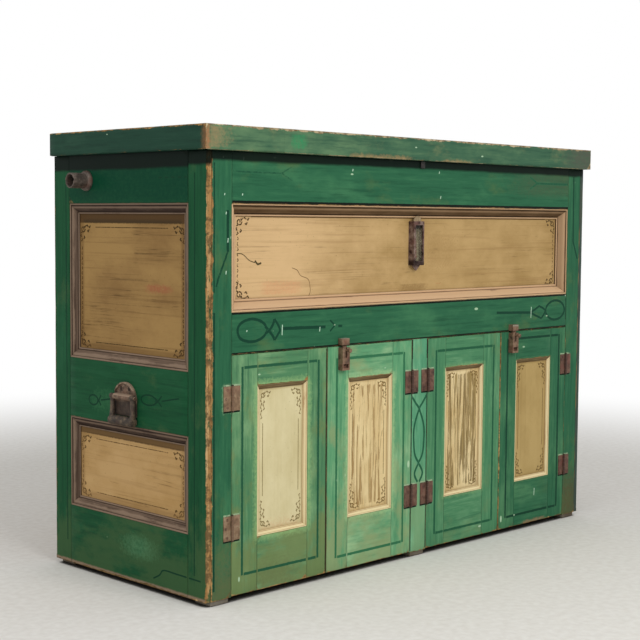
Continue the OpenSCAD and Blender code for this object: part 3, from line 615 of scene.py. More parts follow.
def buff_paint(name, coat, shade, brown, show=0.4, streaked=0.0, rim_mm=10, checks=0.5, mark=None, hold=0.55, soft=0.0,
               paler_left=None, run_light="#b99c66", run_dark="#8b6b3e"):
    """Thin buff paint over pine whose grain shows through, with bare streaks if wanted."""
    made, tree = blank_material(name)
    grain, edge, worn, bare, ink = read_board(tree)
    clouds_at = add(tree, "ShaderNodeVectorMath", {0: grain, 1: (0.6, 1.0, 1.0)}, operation="MULTIPLY")
    clouds = add(tree, "ShaderNodeTexNoise", {"Vector": clouds_at, "Scale": 11.0, "Detail": 6.0, "Roughness": 0.62},
                 out="Fac")
    base = blend(tree, add(tree, "ShaderNodeMapRange", {0: clouds, 1: 0.38, 2: 0.66}), linear(coat), linear(shade))
    if paler_left:
        across = add(tree, "ShaderNodeSeparateXYZ", {0: add(tree, "ShaderNodeTexCoord", out="Object")}, out="X")
        wavy = add(tree, "ShaderNodeMath", {0: clouds, 1: 0.5, 2: across}, operation="MULTIPLY_ADD")
        less_light = add(tree, "ShaderNodeMapRange", {0: wavy, 1: 0.25, 2: -0.2, 4: 0.75})
        base = blend(tree, less_light, base, linear(paler_left))

    rings_at = add(tree, "ShaderNodeVectorMath", {0: grain, 1: (2.6, 110, 110)}, operation="MULTIPLY")
    rings = add(tree, "ShaderNodeTexNoise", {"Vector": rings_at, "Scale": 1.0, "Detail": 6.0, "Roughness": 0.62,
                                             "Distortion": 0.35}, out="Fac")
    lines = add(tree, "ShaderNodeMapRange", {0: rings, 1: 0.52, 2: 0.74, 4: show}, interpolation_type="SMOOTHSTEP")
    base = blend(tree, lines, base, linear(brown))
    pale = add(tree, "ShaderNodeMapRange", {0: rings, 1: 0.44, 2: 0.26, 4: 0.45})
    base = blend(tree, pale, base, linear(coat))

    checks_at = add(tree, "ShaderNodeVectorMath", {0: grain, 1: (1.5, 1000 / check_mm, 1000 / check_mm)},
                    operation="MULTIPLY")
    veins = add(tree, "ShaderNodeTexNoise", {"Vector": checks_at, "Scale": 1.0, "Detail": 2.0, "Distortion": 0.2},
                out="Fac")
    off = add(tree, "ShaderNodeMath", {0: veins, 1: 0.56}, operation="SUBTRACT")
    thin = add(tree, "ShaderNodeMapRange", {0: add(tree, "ShaderNodeMath", {0: off}, operation="ABSOLUTE"),
                                            1: 0.004, 2: 0.013, 3: 1.0, 4: 0.0})
    some = add(tree, "ShaderNodeMapRange", {0: clouds, 1: 0.46, 2: 0.56, 4: checks})
    open_checks = add(tree, "ShaderNodeMath", {0: thin, 1: some}, operation="MULTIPLY")
    base = blend(tree, open_checks, base, linear("#4d3820"))

    if mark:
        breaks = add(tree, "ShaderNodeTexNoise", {"Vector": grain, "Scale": 210.0, "Detail": 3.0,
                                                  "Roughness": 0.7}, out="Fac")
        reach = add(tree, "ShaderNodeMath", {0: ink, 1: 0.75, 2: breaks}, operation="MULTIPLY_ADD")
        held = add(tree, "ShaderNodeMapRange", {0: reach, 1: 1.14 - hold - soft, 2: 1.34 - hold + soft / 2})
        base = blend(tree, held, base, linear(mark))

    relief = add(tree, "ShaderNodeMath", {0: open_checks, 1: -1.4, 2: rings}, operation="MULTIPLY_ADD")
    if streaked:
        wood, figure = pine_figure(tree, grain, run_light, run_dark)
        runs_at = add(tree, "ShaderNodeVectorMath", {0: grain, 1: (3.6, 68, 68)}, operation="MULTIPLY")
        runs = add(tree, "ShaderNodeTexNoise", {"Vector": runs_at, "Scale": 1.0, "Detail": 7.0, "Roughness": 0.7,
                                                "Distortion": 1.4}, out="Fac")
        inward = add(tree, "ShaderNodeMapRange", {0: edge, 1: rim_mm + 2, 2: rim_mm + 13, 3: -0.25, 4: 0.0})
        run = add(tree, "ShaderNodeMath", {0: runs, 1: inward}, operation="ADD")
        lost_at = 0.64 - streaked * 0.2
        stripped = add(tree, "ShaderNodeMapRange", {0: run, 1: lost_at, 2: lost_at + 0.05, 4: 0.85})
        base = blend(tree, stripped, base, wood)
        off_rim = add(tree, "ShaderNodeMath", {0: run, 1: lost_at + 0.015, 2: 0.02}, operation="COMPARE")
        base = blend(tree, add(tree, "ShaderNodeMath", {0: off_rim, 1: 0.55}, operation="MULTIPLY"), base,
                     linear(run_dark))

    specks = add(tree, "ShaderNodeTexNoise", {"Vector": grain, "Scale": 260.0, "Detail": 2.0}, out="Fac")
    dots = add(tree, "ShaderNodeMapRange", {0: specks, 1: 0.70, 2: 0.78, 4: 0.5})
    base = blend(tree, dots, base, linear("#57452b"))
    rim = add(tree, "ShaderNodeMapRange", {0: edge, 1: rim_mm, 2: rim_mm + 6, 3: 0.45, 4: 0.0})
    base = blend(tree, rim, base, linear(brown))
    back_wood, back_figure = pine_figure(tree, grain, "#b3946a", "#8d6b44")
    base = blend(tree, bare, base, back_wood)
    close_material(tree, base, 0.62, relief, 0.22, chalk_gloss)
    return made


LONG = dict(coat="#b99a68", shade="#a38554", brown="#8b6b42", show=0.4, checks=0.3, rim_mm=34, paler_left="#d8b688")
END_UP = dict(coat="#a0804f", shade="#8a6b41", brown="#614527", show=0.5, checks=0.6, rim_mm=32)
END_LOW = dict(coat="#c09d6b", shade="#af8b57", brown="#8a6a42", show=0.4, checks=0.4, rim_mm=32)
CREAM = dict(coat="#d8cda3", shade="#c9bc8f", brown="#a8925f", show=0.15, checks=0.1, rim_mm=9.5)
STREAKED = dict(coat="#e3cf9f", shade="#d3b884", brown="#9c7c4a", show=0.4, streaked=0.53, checks=0.4, rim_mm=9.5)
RUN_OFF = dict(coat="#e0cb9c", shade="#ccb07a", brown="#86693a", show=0.5, streaked=0.8, checks=0.4, rim_mm=9.5,
               run_light="#a08852", run_dark="#67522b")
PLAIN = dict(coat="#b59b66", shade="#a48a56", brown="#866c3e", show=0.25, checks=0.15, rim_mm=9.5)
long_buff = recipe(buff_paint, "buff paint, long panel", **LONG)
end_buffs = dict(upper=recipe(buff_paint, "olive buff paint, upper end panels", **END_UP),
                 lower=recipe(buff_paint, "pale buff paint, lower end panels", **END_LOW))
door_buffs = [recipe(buff_paint, "cream paint, door 1", **CREAM),
              recipe(buff_paint, "streaked buff paint, door 2", **STREAKED),
              recipe(buff_paint, "washed buff paint, door 3", **RUN_OFF),
              recipe(buff_paint, "plain buff paint, door 4", **PLAIN)]
print("checks about", check_mm, "mm apart")

# %% [markdown]
# ## Mouldings
# Each panel is held by a planted moulding, run with a hollow plane and mitred at its four
# corners. It could be a bevelled ring in one piece, but real mitres open a little and the
# grain turns with each side. So a section is carried along each side by itself, and the
# last fraction of a millimetre before each mitre drops away, which draws the fine dark
# line of the joint. Every point of the section has a lift: 1 on a ridge, where the paint
# is rubbed pale, and 0 in a hollow, where dirt and old colour stay and painted shade is
# laid too. Each side also gets a share of painted shade: the sides that face down get a
# darker tone and a black line in their groove.

# %% Moulding mesh and paint
mitre_drop = 0.5


def moulding_paint(name, coat, hollow, ridge, sheltered, rubbed=0.5, bead_dirt=0.3):
    """Old paint on a moulding: dark in its hollows from dirt and painted shade, rubbed pale on its ridges, and darker
    by each side's painted shade.
    """
    made, tree = blank_material(name)
    grain = add(tree, "ShaderNodeAttribute", attribute_name="grain", out="Vector")
    lift = add(tree, "ShaderNodeAttribute", attribute_name="lift", out="Fac")
    patches_at = add(tree, "ShaderNodeVectorMath", {0: grain, 1: (0.4, 1.5, 1.5)}, operation="MULTIPLY")
    patches = add(tree, "ShaderNodeTexNoise", {"Vector": patches_at, "Scale": 24.0, "Detail": 7.0, "Roughness": 0.7},
                  out="Fac")
    along = add(tree, "ShaderNodeVectorMath", {0: grain, 1: (5, 260, 260)}, operation="MULTIPLY")
    fibres = add(tree, "ShaderNodeTexNoise", {"Vector": along, "Scale": 1.0, "Detail": 4.0, "Roughness": 0.6},
                 out="Fac")
    base = blend(tree, add(tree, "ShaderNodeMapRange", {0: fibres, 1: 0.35, 2: 0.7}), linear(coat), linear(hollow))
    rub = add(tree, "ShaderNodeMath", {0: lift, 1: 0.42, 2: patches}, operation="MULTIPLY_ADD")
    shown = add(tree, "ShaderNodeMapRange", {0: rub, 1: 0.98 - rubbed * 0.5, 2: 1.14 - rubbed * 0.5, 4: 0.9},
                interpolation_type="SMOOTHSTEP")
    base = blend(tree, shown, base, linear(ridge))
    # Hollows darker: dirt, and painted shade in them.
    deep = add(tree, "ShaderNodeMapRange", {0: lift, 1: 0.05, 2: 0.4, 3: 0.85, 4: 0.0})
    base = blend(tree, deep, base, linear(hollow))
    # Each side's painted shade: a darker tone, and a black line in the groove, on the sides that face down.
    shelter = add(tree, "ShaderNodeAttribute", attribute_name="shelter", out="Fac")
    uneven = add(tree, "ShaderNodeMapRange", {0: patches, 1: 0.3, 2: 0.7, 3: 1.0, 4: 0.8})
    on_bead = add(tree, "ShaderNodeMapRange", {0: lift, 1: 0.62, 2: 0.9, 3: 1.0, 4: bead_dirt})
    shade_share = add(tree, "ShaderNodeMath", {0: shelter, 1: uneven}, operation="MULTIPLY")
    shade_share = add(tree, "ShaderNodeMath", {0: shade_share, 1: on_bead}, operation="MULTIPLY")
    base = blend(tree, shade_share, base, linear(sheltered))
    groove = add(tree, "ShaderNodeMapRange", {0: lift, 1: 0.02, 2: 0.3, 3: 1.0, 4: 0.0})
    groove_shade = add(tree, "ShaderNodeMath", {0: groove, 1: shelter}, operation="MULTIPLY")
    base = blend(tree, groove_shade, base, linear("#1b130c"))
    height = add(tree, "ShaderNodeMath", {0: shown, 1: -0.5, 2: fibres}, operation="MULTIPLY_ADD")
    close_material(tree, base, 0.6, height, 0.2, chalk_gloss)
    return made


def facing(side, depth_axis_zero=0.0):
    """A function that puts (across, up, depth) of a front, left or right face into the cabinet."""
    if side == "front":
        return lambda h, v, deep: (h, depth_axis_zero + deep, v)
    if side == "left":
        return lambda h, v, deep: (depth_axis_zero + deep, h, v)
    return lambda h, v, deep: (body_w - depth_axis_zero - deep, h, v)


def add_moulding(name, side, low, high, profile, back, finish, body="carcass", stands_for=(),
                 shelter=(0.0, 0.3, 1.0, 0.0)):
    """A mitred moulding inside an opening, as (across, up) on a face. The painted shade of each side is given for
    bottom, right, top, left.
    """
    where = facing(side)
    shape = bmesh.new()
    lifts, grains, sheltered = [], [], []
    outline = [(0, back, 0.0)] + profile + [(profile[-1][0], back, 0.0)]
    corners = [(low[0], low[1]), (high[0], low[1]), (high[0], high[1]), (low[0], high[1])]
    for k in range(4):
        start, end = corners[k], corners[(k + 1) % 4]
        length = math.dist(start, end)
        go = ((end[0] - start[0]) / length, (end[1] - start[1]) / length)
        inward = (-go[1], go[0])
        shift = Vector([chance.uniform(-6, 6) for _ in range(3)])
        count = max(2, round(length / 30))
        stops = [0.0, 0.8] + [length * i / count for i in range(1, count)] + [length - 0.8, length]
        loops = []
        for s in stops:
            closing = s in (0.0, length)
            loop = []
            for inset_mm, deep, lift in outline:
                at = inset_mm + s * (length - 2 * inset_mm) / length
                uneven = 0.25 * noise.noise(shift + Vector((s / 60, inset_mm / 9, 0)))
                sunk = deep if deep == back else min(back, deep + uneven + (mitre_drop if closing else 0))
                h = start[0] + go[0] * at + inward[0] * inset_mm
                v = start[1] + go[1] * at + inward[1] * inset_mm
                loop.append(shape.verts.new(place(*where(h, v, max(sunk, 0.3)))))
                lifts.append(lift)
                sheltered.append(shelter[k])
                grains.extend(Vector((at / 1000, inset_mm / 1000, deep / 1000)) + shift)
            loops.append(loop)
        for one, two in zip(loops, loops[1:]):
            for i in range(len(one)):
                j = (i + 1) % len(one)
                shape.faces.new((one[i], one[j], two[j], two[i]))
        shape.faces.new(loops[0])
        shape.faces.new(loops[-1])
    bmesh.ops.recalc_face_normals(shape, faces=shape.faces)
    mesh = bpy.data.meshes.new(name)
    shape.to_mesh(mesh)
    shape.free()
    mesh.polygons.foreach_set("use_smooth", [True] * len(mesh.polygons))
    mesh.set_sharp_from_angle(angle=math.radians(38))
    mesh.attributes.new("lift", "FLOAT", "POINT").data.foreach_set("value", lifts)
    mesh.attributes.new("shelter", "FLOAT", "POINT").data.foreach_set("value", sheltered)
    mesh.attributes.new("grain", "FLOAT_VECTOR", "POINT").data.foreach_set("vector", grains)
    return put(name, mesh, finish, body, stands_for)


long_profile = [(0.0, 2.0, 0.3), (0.7, 1.2, 0.8), (2.2, 0.9, 1.0), (3.8, 1.2, 0.6), (4.5, 2.2, 0.0), (4.8, 3.4, 0.0),
                (6.0, 3.9, 0.3), (8.6, 5.0, 0.75), (11.8, 7.6, 0.66), (14.8, 11.2, 0.6), (17.4, 14.6, 0.6),
                (19.6, 16.9, 0.3), (20.4, 18.6, 0.0), (21.0, 18.8, 0.0), (21.8, 17.9, 0.5), (23.4, 17.5, 1.0),
                (25.2, 17.9, 0.9), (26.0, 19.0, 0.0)]
end_profile = [(0.0, 1.8, 0.3), (0.6, 0.9, 0.9), (2.0, 0.6, 1.0), (3.5, 0.9, 0.8), (4.2, 1.8, 0.1), (4.6, 2.9, 0.0),
               (6.0, 2.9, 0.6), (9.0, 3.2, 0.9), (12.4, 4.9, 0.6), (15.6, 7.6, 0.4), (17.8, 9.2, 0.4),
               (18.6, 10.9, 0.0), (19.2, 11.0, 0.0), (20.0, 10.0, 0.9), (21.4, 9.7, 1.0), (22.6, 10.2, 0.9),
               (23.0, 11.4, 0.3)]
door_profile = [(0.0, 1.2, 0.3), (0.5, 0.5, 0.9), (1.4, 0.4, 1.0), (2.1, 0.9, 0.5), (2.4, 1.9, 0.05),
                (3.4, 2.2, 0.6), (5.4, 3.2, 0.7), (7.2, 4.6, 0.4), (7.9, 5.6, 0.0), (8.4, 5.2, 0.6), (9.5, 5.6, 0.3)]
# The fourth tone of each is the painted shade on the sides that face down.
long_moulding_paint = moulding_paint("mauve paint rubbed to tan, long moulding", "#ab8c6e", "#7a5d45", "#cdaa84",
                                     "#49351f", 1.0, bead_dirt=0.1)
end_moulding_paint = moulding_paint("mauve brown paint, end mouldings", "#7c6858", "#43342a", "#8a7563", "#2a1d1a", 0.6)
door_moulding_paint = moulding_paint("buff paint, door mouldings", "#d9c290", "#93683e", "#e4d4a6", "#5b4426", 0.95,
                                     bead_dirt=0.9)
print("points in the sections:", len(long_profile), len(end_profile), len(door_profile))

# %% [markdown]
# ## Carcass
# Each end is a frame of its own: a front board, a back stile and three rails. The front
# board's edge runs up the front of the cabinet as a strip 13 mm wide. On the left its
# paint is rubbed off from top to bottom, on the right it is only dirty. The front frame
# stands between the two ends.

# %% Ends
strip_w = 13.5
joint = 0.2
frame_t = extent("front_left_stile")[1][1]
side_t = extent("left_side_frame")[1][0]
side_y0, side_y1 = levels("left_side_panels", 1)
low_z0, low_z1, up_z0, up_z1 = levels("left_side_panels", 2)
side_recess = extent("left_side_panels")[0][0]


def mirrored(low, high, side):
    """A box given for the left end, or its mirror image at the right end."""
    if side == "left":
        return list(low), list(high)
    return [body_w - high[0], low[1], low[2]], [body_w - low[0], high[1], high[2]]


for side in ("left", "right"):
    outer = side
    node = side + "_side_frame"
    front_bare = ("front", ) if side == "left" else ()
    inner_face = "right" if side == "left" else "left"
    low, high = mirrored((0, 0, foot_h), (strip_w, side_y0 - joint, body_top), side)
    add_board(side + "_end_front_board", low, high, "z", strip_bare if side == "left" else strip_green,
              "side_green_paint", stands_for=(node, ), arris=1.8, bare=front_bare + (inner_face, ),
              worn={outer + " front": 2.2 if side == "left" else 0.8, outer + " bottom": 2.5, "all": 0.3})
    low, high = mirrored((strip_w + joint, frame_t + joint, foot_h), (side_t, side_y0 - joint, body_top - 0.5), side)
    add_board(side + "_corner_post", low, high, "z", inner_pine, "bare_boards")
    low, high = mirrored((0, side_y1, foot_h), (side_t, body_d, body_top), side)
    add_board(side + "_end_back_stile", low, high, "z", side_green, "side_green_paint", arris=1.6,
              bare=(inner_face, "back"), worn={outer + " back": 3, outer + " bottom": 2.5, "all": 0.3})
    for label, z0, z1 in (("bottom", foot_h, low_z0), ("middle", low_z1, up_z0), ("top", up_z1, body_top)):
        low, high = mirrored((0, side_y0, z0), (side_t, side_y1 - joint, z1), side)
        worn = {"all": 0.4, outer + " bottom": 3.5 if label == "bottom" else 0.8}
        add_board(side + "_end_" + label + "_rail", low, high, "y", side_green, "side_green_paint",
                  bare=(inner_face, ), worn=worn)
    for label, z0, z1 in (("lower", low_z0, low_z1), ("upper", up_z0, up_z1)):
        low, high = mirrored((side_recess, side_y0, z0), (side_recess + 7, side_y1, z1), side)
        panel = add_board(side + "_end_" + label + "_panel", low, high, "y", end_buffs[label], "buff_paint",
                          stands_for=(side + "_side_panels", ), arris=0.5, bare=(inner_face, ), worn={"all": 0})
        add_moulding(side + "_end_" + label + "_moulding", side, (side_y0, z0), (side_y1, z1), end_profile,
                     side_recess, end_moulding_paint, stands_for=(side + "_side_mouldings", ),
                     shelter=(0.0, 0.25, 0.9, 0.6))
print("end openings:", side_y0, "to", side_y1, "deep,", low_z0, low_z1, up_z0, up_z1, "high")

# %% Front frame
stile_w = extent("front_left_stile")[1][0]
mid_z0, mid_z1 = levels("front_mid_rail", 2)
top_z0 = extent("front_top_rail")[0][2]
centre_x0, centre_x1 = levels("front_centre_stile", 0)
add_board("front_left_stile_board", [strip_w + joint, 0, foot_h], [stile_w, frame_t, body_top], "z", front_green,
          stands_for=("front_left_stile", ), bare=("back", ),
          worn={"left front": 3.0, "right front": 0.6, "front bottom": 1.5, "all": 0.3})
add_board("front_right_stile_board", [body_w - stile_w, 0, foot_h], [body_w - strip_w - joint, frame_t, body_top],
          "z", front_green, stands_for=("front_right_stile", ), bare=("back", ),
          worn={"right front": 0.5, "left front": 0.6, "front bottom": 1.5, "all": 0.3})
add_board("front_centre_stile_board", [centre_x0, 0, foot_h], [centre_x1, frame_t, mid_z0 - joint], "z", centre_green,
          stands_for=("front_centre_stile", ), bare=("back", ), worn={"front bottom": 2, "all": 0.4})
add_board("front_top_rail_board", [stile_w + joint, 0, top_z0], [body_w - stile_w - joint, frame_t, body_top], "x",
          front_green, stands_for=("front_top_rail", ), bare=("back", ), worn={"front bottom": 0.8, "all": 0.3})
add_board("front_middle_rail_board", [stile_w + joint, 0, mid_z0], [body_w - stile_w - joint, frame_t, mid_z1], "x",
          front_green, stands_for=("front_mid_rail", ), bare=("back", ),
          worn={"front bottom": 0.6, "front top": 0.6, "all": 0.2})
low, high = extent("tank_front_panel")
add_board("long_panel", low, high, "x", long_buff, "buff_paint", stands_for=("tank_front_panel", ), arris=0.5,
          bare=("back", ), worn={"all": 0})
add_moulding("long_panel_moulding", "front", (stile_w, mid_z1), (body_w - stile_w, top_z0), long_profile, frame_t,
             long_moulding_paint, stands_for=("tank_front_moulding", ),
             shelter=(0.0, 0.5, 1.0, 0.1))
print("front rails:", mid_z0, mid_z1, top_z0, "centre stile", centre_x0, centre_x1)

# %% [markdown]
# ## Back, floor and inside
# Nobody painted these. The back is upright boards nailed on, the floor and the deck under
# the tank are boards along the cabinet, and a partition parts the cupboard.

# %% Plain boards
back_count = 9


def split_boards(name, node, grain, across, count, finish, gap=0.8, stands=True):
    """A measured slab as a row of boards, side by side along one axis."""
    low, high = extent(node)
    width = (high[across] - low[across]) / count
    for k in range(count):
        one, two = list(low), list(high)
        one[across] = low[across] + k * width + (gap / 2 if k else 0)
        two[across] = low[across] + (k + 1) * width - (gap / 2 if k < count - 1 else 0)
        add_board(f"{name}_{k + 1}", one, two, grain, finish, "bare_boards", stands_for=(node, ), arris=1.6)


split_boards("back_board", "back_boards", "z", 0, back_count, aged_pine, 1.2)
split_boards("floor_board", "floor_boards", "x", 1, 3, inner_pine)
split_boards("deck_board", "tank_deck", "x", 1, 3, inner_pine)
split_boards("partition_board", "cupboard_partition", "z", 1, 3, inner_pine)
cleat_low, cleat_high = extent("deck_cleats")
for side, x0, x1 in (("left", cleat_low[0], cleat_low[0] + 20), ("right", cleat_high[0] - 20, cleat_high[0])):
    add_board(side + "_deck_cleat", [x0, cleat_low[1], cleat_low[2]], [x1, cleat_high[1], cleat_high[2]], "y",
              inner_pine, "bare_boards", stands_for=("deck_cleats", ))

foot_wood = bare_pine("weathered foot blocks", "#8b8071", "#6b6053", "#a09a8e", 0.5)
foot_x = levels("feet", 0)
foot_y = levels("feet", 1)
for i in range(0, len(foot_x), 2):
    for j in range(0, len(foot_y), 2):
        add_board(f"foot_block_{i // 2 + 1}_{j // 2 + 1}", [foot_x[i], foot_y[j], 0],
                  [foot_x[i + 1], foot_y[j + 1], foot_h], "x", foot_wood, "foot_blocks", stands_for=("feet", ))
print("back boards:", back_count, "feet at", foot_x, foot_y)

# %% [markdown]
# ## Doors
# A door is two stiles with two rails between them, a thin panel and a small moulding.

# %% Four doors
for n in range(1, 5):
    body = f"door_{n}"
    low, high = extent(body + "_frame")
    panel_low, panel_high = extent(body + "_panel")
    leaf = dict(finish=door_greens[n - 1], body=body, stands_for=(body + "_frame", ), bare=("back", ))
    rails = {"front bottom": 1.6, "front top": 0.7, "all": 0.15}
    meeting = 2.2 if n == 4 else 0.6
    add_board(body + "_left_stile", low, [panel_low[0] - joint, high[1], high[2]], "z",
              worn={**rails, "front left": meeting}, **leaf)
    add_board(body + "_right_stile", [panel_high[0] + joint, low[1], low[2]], high, "z",
              worn={**rails, "front right": 0.6}, **leaf)
    add_board(body + "_bottom_rail", [panel_low[0], low[1], low[2]], [panel_high[0], high[1], panel_low[2]], "x",
              worn=rails, **leaf)
    add_board(body + "_top_rail", [panel_low[0], low[1], panel_high[2]], [panel_high[0], high[1], high[2]], "x",
              worn=rails, **leaf)
    add_board(body + "_panel_board", panel_low, panel_high, "z", door_buffs[n - 1], "buff_paint", body,
              (body + "_panel", ), arris=0.5, bare=("back", ), worn={"all": 0})
    add_moulding(body + "_panel_moulding", "front", (panel_low[0], panel_low[2]), (panel_high[0], panel_high[2]),
                 door_profile, panel_low[1], door_moulding_paint, body,
                 (body + "_moulding", ), shelter=(0.0, 0.05, 1.0, 0.0))
    print(body, "from", low[0], "to", high[0])

# %% [markdown]
# ## Lid
# The lid is thick: a rim mitred at the front corners, with four boards let in between,
# and a sheet of zinc below them. Its arrises are rounder than elsewhere, and hands have
# rubbed the front one bare.

# %% Lid boards
lid_low, lid_high = extent("lid_rim")
in_low, in_high = extent("lid_boards")
lid = dict(body="lid", stands_for=("lid_rim", ), arris=3.6)
add_board("lid_front_board", [lid_low[0], lid_low[1], lid_low[2]], [lid_high[0], in_low[1], lid_high[2]], "x",
          lid_green, worn={"front top": 4.2, "front bottom": 1.4, "all": 1.6}, mitre=(1, lid_low[1], 1, 1), **lid)
for side in ("left", "right"):
    x0, x1 = (lid_low[0], in_low[0]) if side == "left" else (in_high[0], lid_high[0])
    outer_x = lid_low[0] if side == "left" else lid_high[0]
    add_board("lid_" + side + "_board", [x0, lid_low[1], lid_low[2]], [x1, lid_high[1], lid_high[2]], "y",
              lid_end_green, "side_green_paint", worn={side + " top": 3.0, "all": 1.2},
              mitre=(0, outer_x, 1, 0), **lid)
add_board("lid_back_board", [in_low[0] + joint, in_high[1], lid_low[2]],
          [in_high[0] - joint, lid_high[1], lid_high[2]], "x", lid_green, worn={"all": 2.5}, **lid)
board_w = (in_high[1] - in_low[1]) / 4
for k in range(4):
    add_board(f"lid_top_board_{k + 1}", [in_low[0] + joint, in_low[1] + k * board_w + 0.5, in_low[2]],
              [in_high[0] - joint, in_low[1] + (k + 1) * board_w - 0.5, in_high[2]], "x", lid_green, body="lid",
              stands_for=("lid_boards", ), arris=2.0, worn={"all": 3.0})
print("lid from", lid_low, "to", lid_high)

# %% [markdown]
# ## Iron, tin and zinc
# The fittings are cast and wrought iron with a brown skin of rust, which is matt and
# mottled, a little redder where water sat and pale where hands rubbed the edges. A bevel
# node would do for cut edges, but each edge here is rounded in the mesh, and the shader
# finds it by asking how far the rounded normal turns away within a millimetre. Sizes come
# from the measured parts, so the pins stay on their axes.

# %% Metal shapes
def within(point, box):
    """Whether a point lies inside a box."""
    return all(a < p < b for p, a, b in zip(point, *box))


def carve(shape, keep, cut=(), round_mm=0.5):
    """A solid made of boxes with other boxes cut out of it, its sharp edges rounded."""
    stops = [sorted({round(box[end][axis], 3) for box in list(keep) + list(cut) for end in (0, 1)})
             for axis in range(3)]
    shelf = {}
    faces = []

    def corner_at(i, j, k):
        if (i, j, k) not in shelf:
            shelf[i, j, k] = shape.verts.new((stops[0][i], stops[1][j], stops[2][k]))
        return shelf[i, j, k]

    def solid(i, j, k):
        cell = (i, j, k)
        if any(c < 0 or c >= len(stops[n]) - 1 for n, c in enumerate(cell)):
            return False
        mid = [(stops[n][c] + stops[n][c + 1]) / 2 for n, c in enumerate(cell)]
        return any(within(mid, box) for box in keep) and not any(within(mid, box) for box in cut)

    for i in range(len(stops[0]) - 1):
        for j in range(len(stops[1]) - 1):
            for k in range(len(stops[2]) - 1):
                if not solid(i, j, k):
                    continue
                for axis in range(3):
                    for far in (0, 1):
                        step = [0, 0, 0]
                        step[axis] = 2 * far - 1
                        if solid(i + step[0], j + step[1], k + step[2]):
                            continue
                        ring = []
                        for u, v in ((0, 0), (1, 0), (1, 1), (0, 1)):
                            index = [i, j, k]
                            index[axis] += far
                            index[(axis + 1) % 3] += u
                            index[(axis + 2) % 3] += v
                            ring.append(corner_at(*index))
                        faces.append(shape.faces.new(ring if far else ring[::-1]))
    shape.normal_update()
    edges = {e for f in faces for e in f.edges}
    sharp = [e for e in edges if len(e.link_faces) == 2 and e.calc_face_angle() > 0.5]
    flat = [e for e in edges if len(e.link_faces) == 2 and e.calc_face_angle() < 0.01]
    bmesh.ops.dissolve_edges(shape, edges=flat, use_verts=True)
    sharp = [e for e in sharp if e.is_valid]
    bmesh.ops.bevel(shape, geom=sharp, offset=round_mm, segments=2, profile=0.5, affect="EDGES", clamp_overlap=True)


def join_loops(shape, loops, closed=False, capped=True):
    """Faces between loops of equal length, with the two ends capped or joined."""
    pairs = list(zip(loops, loops[1:])) + ([(loops[-1], loops[0])] if closed else [])
    for one, two in pairs:
        for i in range(len(one)):
            j = (i + 1) % len(one)
            shape.faces.new((one[i], one[j], two[j], two[i]))
    if capped and not closed:
        shape.faces.new(loops[0][::-1])
        shape.faces.new(loops[-1])


def turn(shape, start, axis, profile, steps=28, closed=False, uneven=0.0):
    """A turned piece from (distance along the axis, radius) pairs. A closed profile makes a ring."""
    start, axis = Vector(start), Vector(axis).normalized()
    side = axis.orthogonal().normalized()
    up = axis.cross(side)
    loops = []
    for along, radius in profile:
        loop = []
        for n in range(steps):
            angle = 2 * math.pi * n / steps
            out = math.cos(angle) * side + math.sin(angle) * up
            wander = 1 - uneven * abs(noise.noise(out * 1.7 + axis * along * 0.06 + start * 0.01))
            loop.append(shape.verts.new(start + axis * along + out * radius * wander))
        loops.append(loop)
    join_loops(shape, loops, closed)


def sweep(shape, points, sections, across, steps=16, squareness=2.6):
    """A bar along points in one plane. sections holds (half depth in the plane, half width across it)."""
    across = Vector(across).normalized()
    loops = []
    for n, (point, (deep, wide)) in enumerate(zip(points, sections)):
        before, after = Vector(points[max(n - 1, 0)]), Vector(points[min(n + 1, len(points) - 1)])
        normal = across.cross((after - before).normalized())
        loop = []
        for m in range(steps):
            c, s = math.cos(2 * math.pi * m / steps), math.sin(2 * math.pi * m / steps)
            u = math.copysign(abs(c) ** (2 / squareness), c)
            v = math.copysign(abs(s) ** (2 / squareness), s)
            loop.append(shape.verts.new(Vector(point) + normal * deep * u + across * wide * v))
        loops.append(loop)
    join_loops(shape, loops)


def finish_shape(name, shape, finish, body, stands_for=(), sharp_degrees=35, painted=None):
    """Turns a shape in cabinet millimetres into a piece. painted(point, normal) gives leftover paint, 0 to 1."""
    bmesh.ops.recalc_face_normals(shape, faces=shape.faces)
    shape.normal_update()
    left = [painted(v.co, v.normal) if painted else 0.0 for v in shape.verts]
    for v in shape.verts:
        v.co = place(*v.co)
    mesh = bpy.data.meshes.new(name)
    shape.to_mesh(mesh)
    shape.free()
    mesh.polygons.foreach_set("use_smooth", [True] * len(mesh.polygons))
    mesh.set_sharp_from_angle(angle=math.radians(sharp_degrees))
    mesh.attributes.new("paint", "FLOAT", "POINT").data.foreach_set("value", left)
    return put(name, mesh, finish, body, stands_for)


print("metal helpers: carve, turn and sweep")

# %% Rusted iron, tin and zinc
pit_mm = 2.2
scale_mm = 14
spangle_mm = 16


